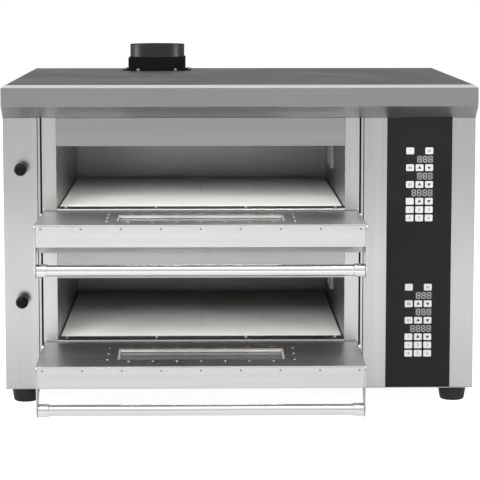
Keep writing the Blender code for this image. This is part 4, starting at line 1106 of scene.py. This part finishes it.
# %% Lamp and gland
BEZEL_W, BEZEL_H, BEZEL_RIM, BEZEL_T, BEZEL_R = 0.078, 0.058, 0.008, 0.0018, 0.0004
PANE_W, PANE_H, PANE_T, PANE_DOME, LAMP_GAP = 0.060, 0.040, 0.0008, 0.0012, 0.0002
LAMP_SCREWS = (0.044, 0.033)
BORE_R, THREAD_R, FLANGE_R, CAP_R, MOUTH_R, TIP_R = 0.0065, 0.0112, 0.0150, 0.0128, 0.0110, 0.0095
FLANGE_T, CAP_START, CAP_END, TIP_L, GLAND_R = 0.0030, 0.0032, 0.0100, 0.002, 0.0005
NUT_R, NUT_L, NUT_OUT = 0.0149, 0.0060, 0.0064


def add_lamp(deck):
    low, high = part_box(f"{deck}_lamp_housing")
    middle = (low + high) / 2
    seat = Matrix.Translation((low.x - LAMP_GAP, middle.y, middle.z))
    bezel = flat_ring(BEZEL_W, BEZEL_H, BEZEL_RIM, BEZEL_T)
    round_edges(bezel, bezel.edges[:], BEZEL_R)
    bmesh.ops.transform(bezel, matrix=seat @ SIDEWAYS, verts=bezel.verts)
    new_piece(f"{deck}_lamp_bezel", bezel, "screw", "cabinet")
    pane = bmesh.new()
    bmesh.ops.create_grid(pane, x_segments=16, y_segments=12, size=0.5,
                          matrix=Matrix.Rotation(math.radians(-90), 4, "Y"))
    bmesh.ops.scale(pane, vec=(1, PANE_W, PANE_H), verts=pane.verts)
    for vert in pane.verts:
        dome = math.cos(vert.co.y / PANE_W * math.pi) * math.cos(vert.co.z / PANE_H * math.pi)
        vert.co.x -= PANE_DOME * max(dome, 0) ** 0.5
    thicken(pane, PANE_T)
    bmesh.ops.transform(pane, matrix=seat, verts=pane.verts)
    new_piece(f"{deck}_lamp_pane", pane, "lens", "cabinet", smooth=True)
    corners = [facing((low.x, middle.y + y * LAMP_SCREWS[0], middle.z + z * LAMP_SCREWS[1]), -AXIS_X)
               for y in (-1, 1) for z in (-1, 1)]
    repeated(f"{deck}_lamp_screws", small_head, corners)


def add_gland():
    low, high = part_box("cable_gland")
    middle = (low + high) / 2
    seat, end = rear_face - low.y, high.y - low.y
    profile = softened([(BORE_R, 0), (THREAD_R, 0), (THREAD_R, seat), (FLANGE_R, seat),
                        (FLANGE_R, seat + FLANGE_T), (CAP_R, seat + CAP_START), (CAP_R, seat + CAP_END),
                        (MOUTH_R, end - TIP_L), (TIP_R, end), (BORE_R, end)], GLAND_R)
    profile.append(profile[0])
    bm = turned(profile, AXIS_Y, (middle.x, low.y, middle.z), SMALL_ROUND)
    new_piece("gland_body", bm, "foot", "cabinet", ("cable_gland",), smooth=True)
    nut = bmesh.new()
    nut_at = Matrix.Translation((middle.x, rear_face + NUT_OUT, middle.z))
    bmesh.ops.create_cone(nut, cap_ends=True, segments=6, radius1=NUT_R, radius2=NUT_R, depth=NUT_L,
                          matrix=nut_at @ STOOD_UP)
    round_edges(nut, nut.edges[:], GLAND_R)
    new_piece("gland_nut", nut, "foot", "cabinet")
    print("gland at", tuple(middle))


for deck in DECKS:
    add_lamp(deck)
add_gland()

# %% [markdown]
# Last, the whole oven is measured with every piece in place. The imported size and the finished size
# are written side by side, because no added trim should make the oven larger than its CAD.

low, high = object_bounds()
print("visual box", tuple(low), tuple(high))
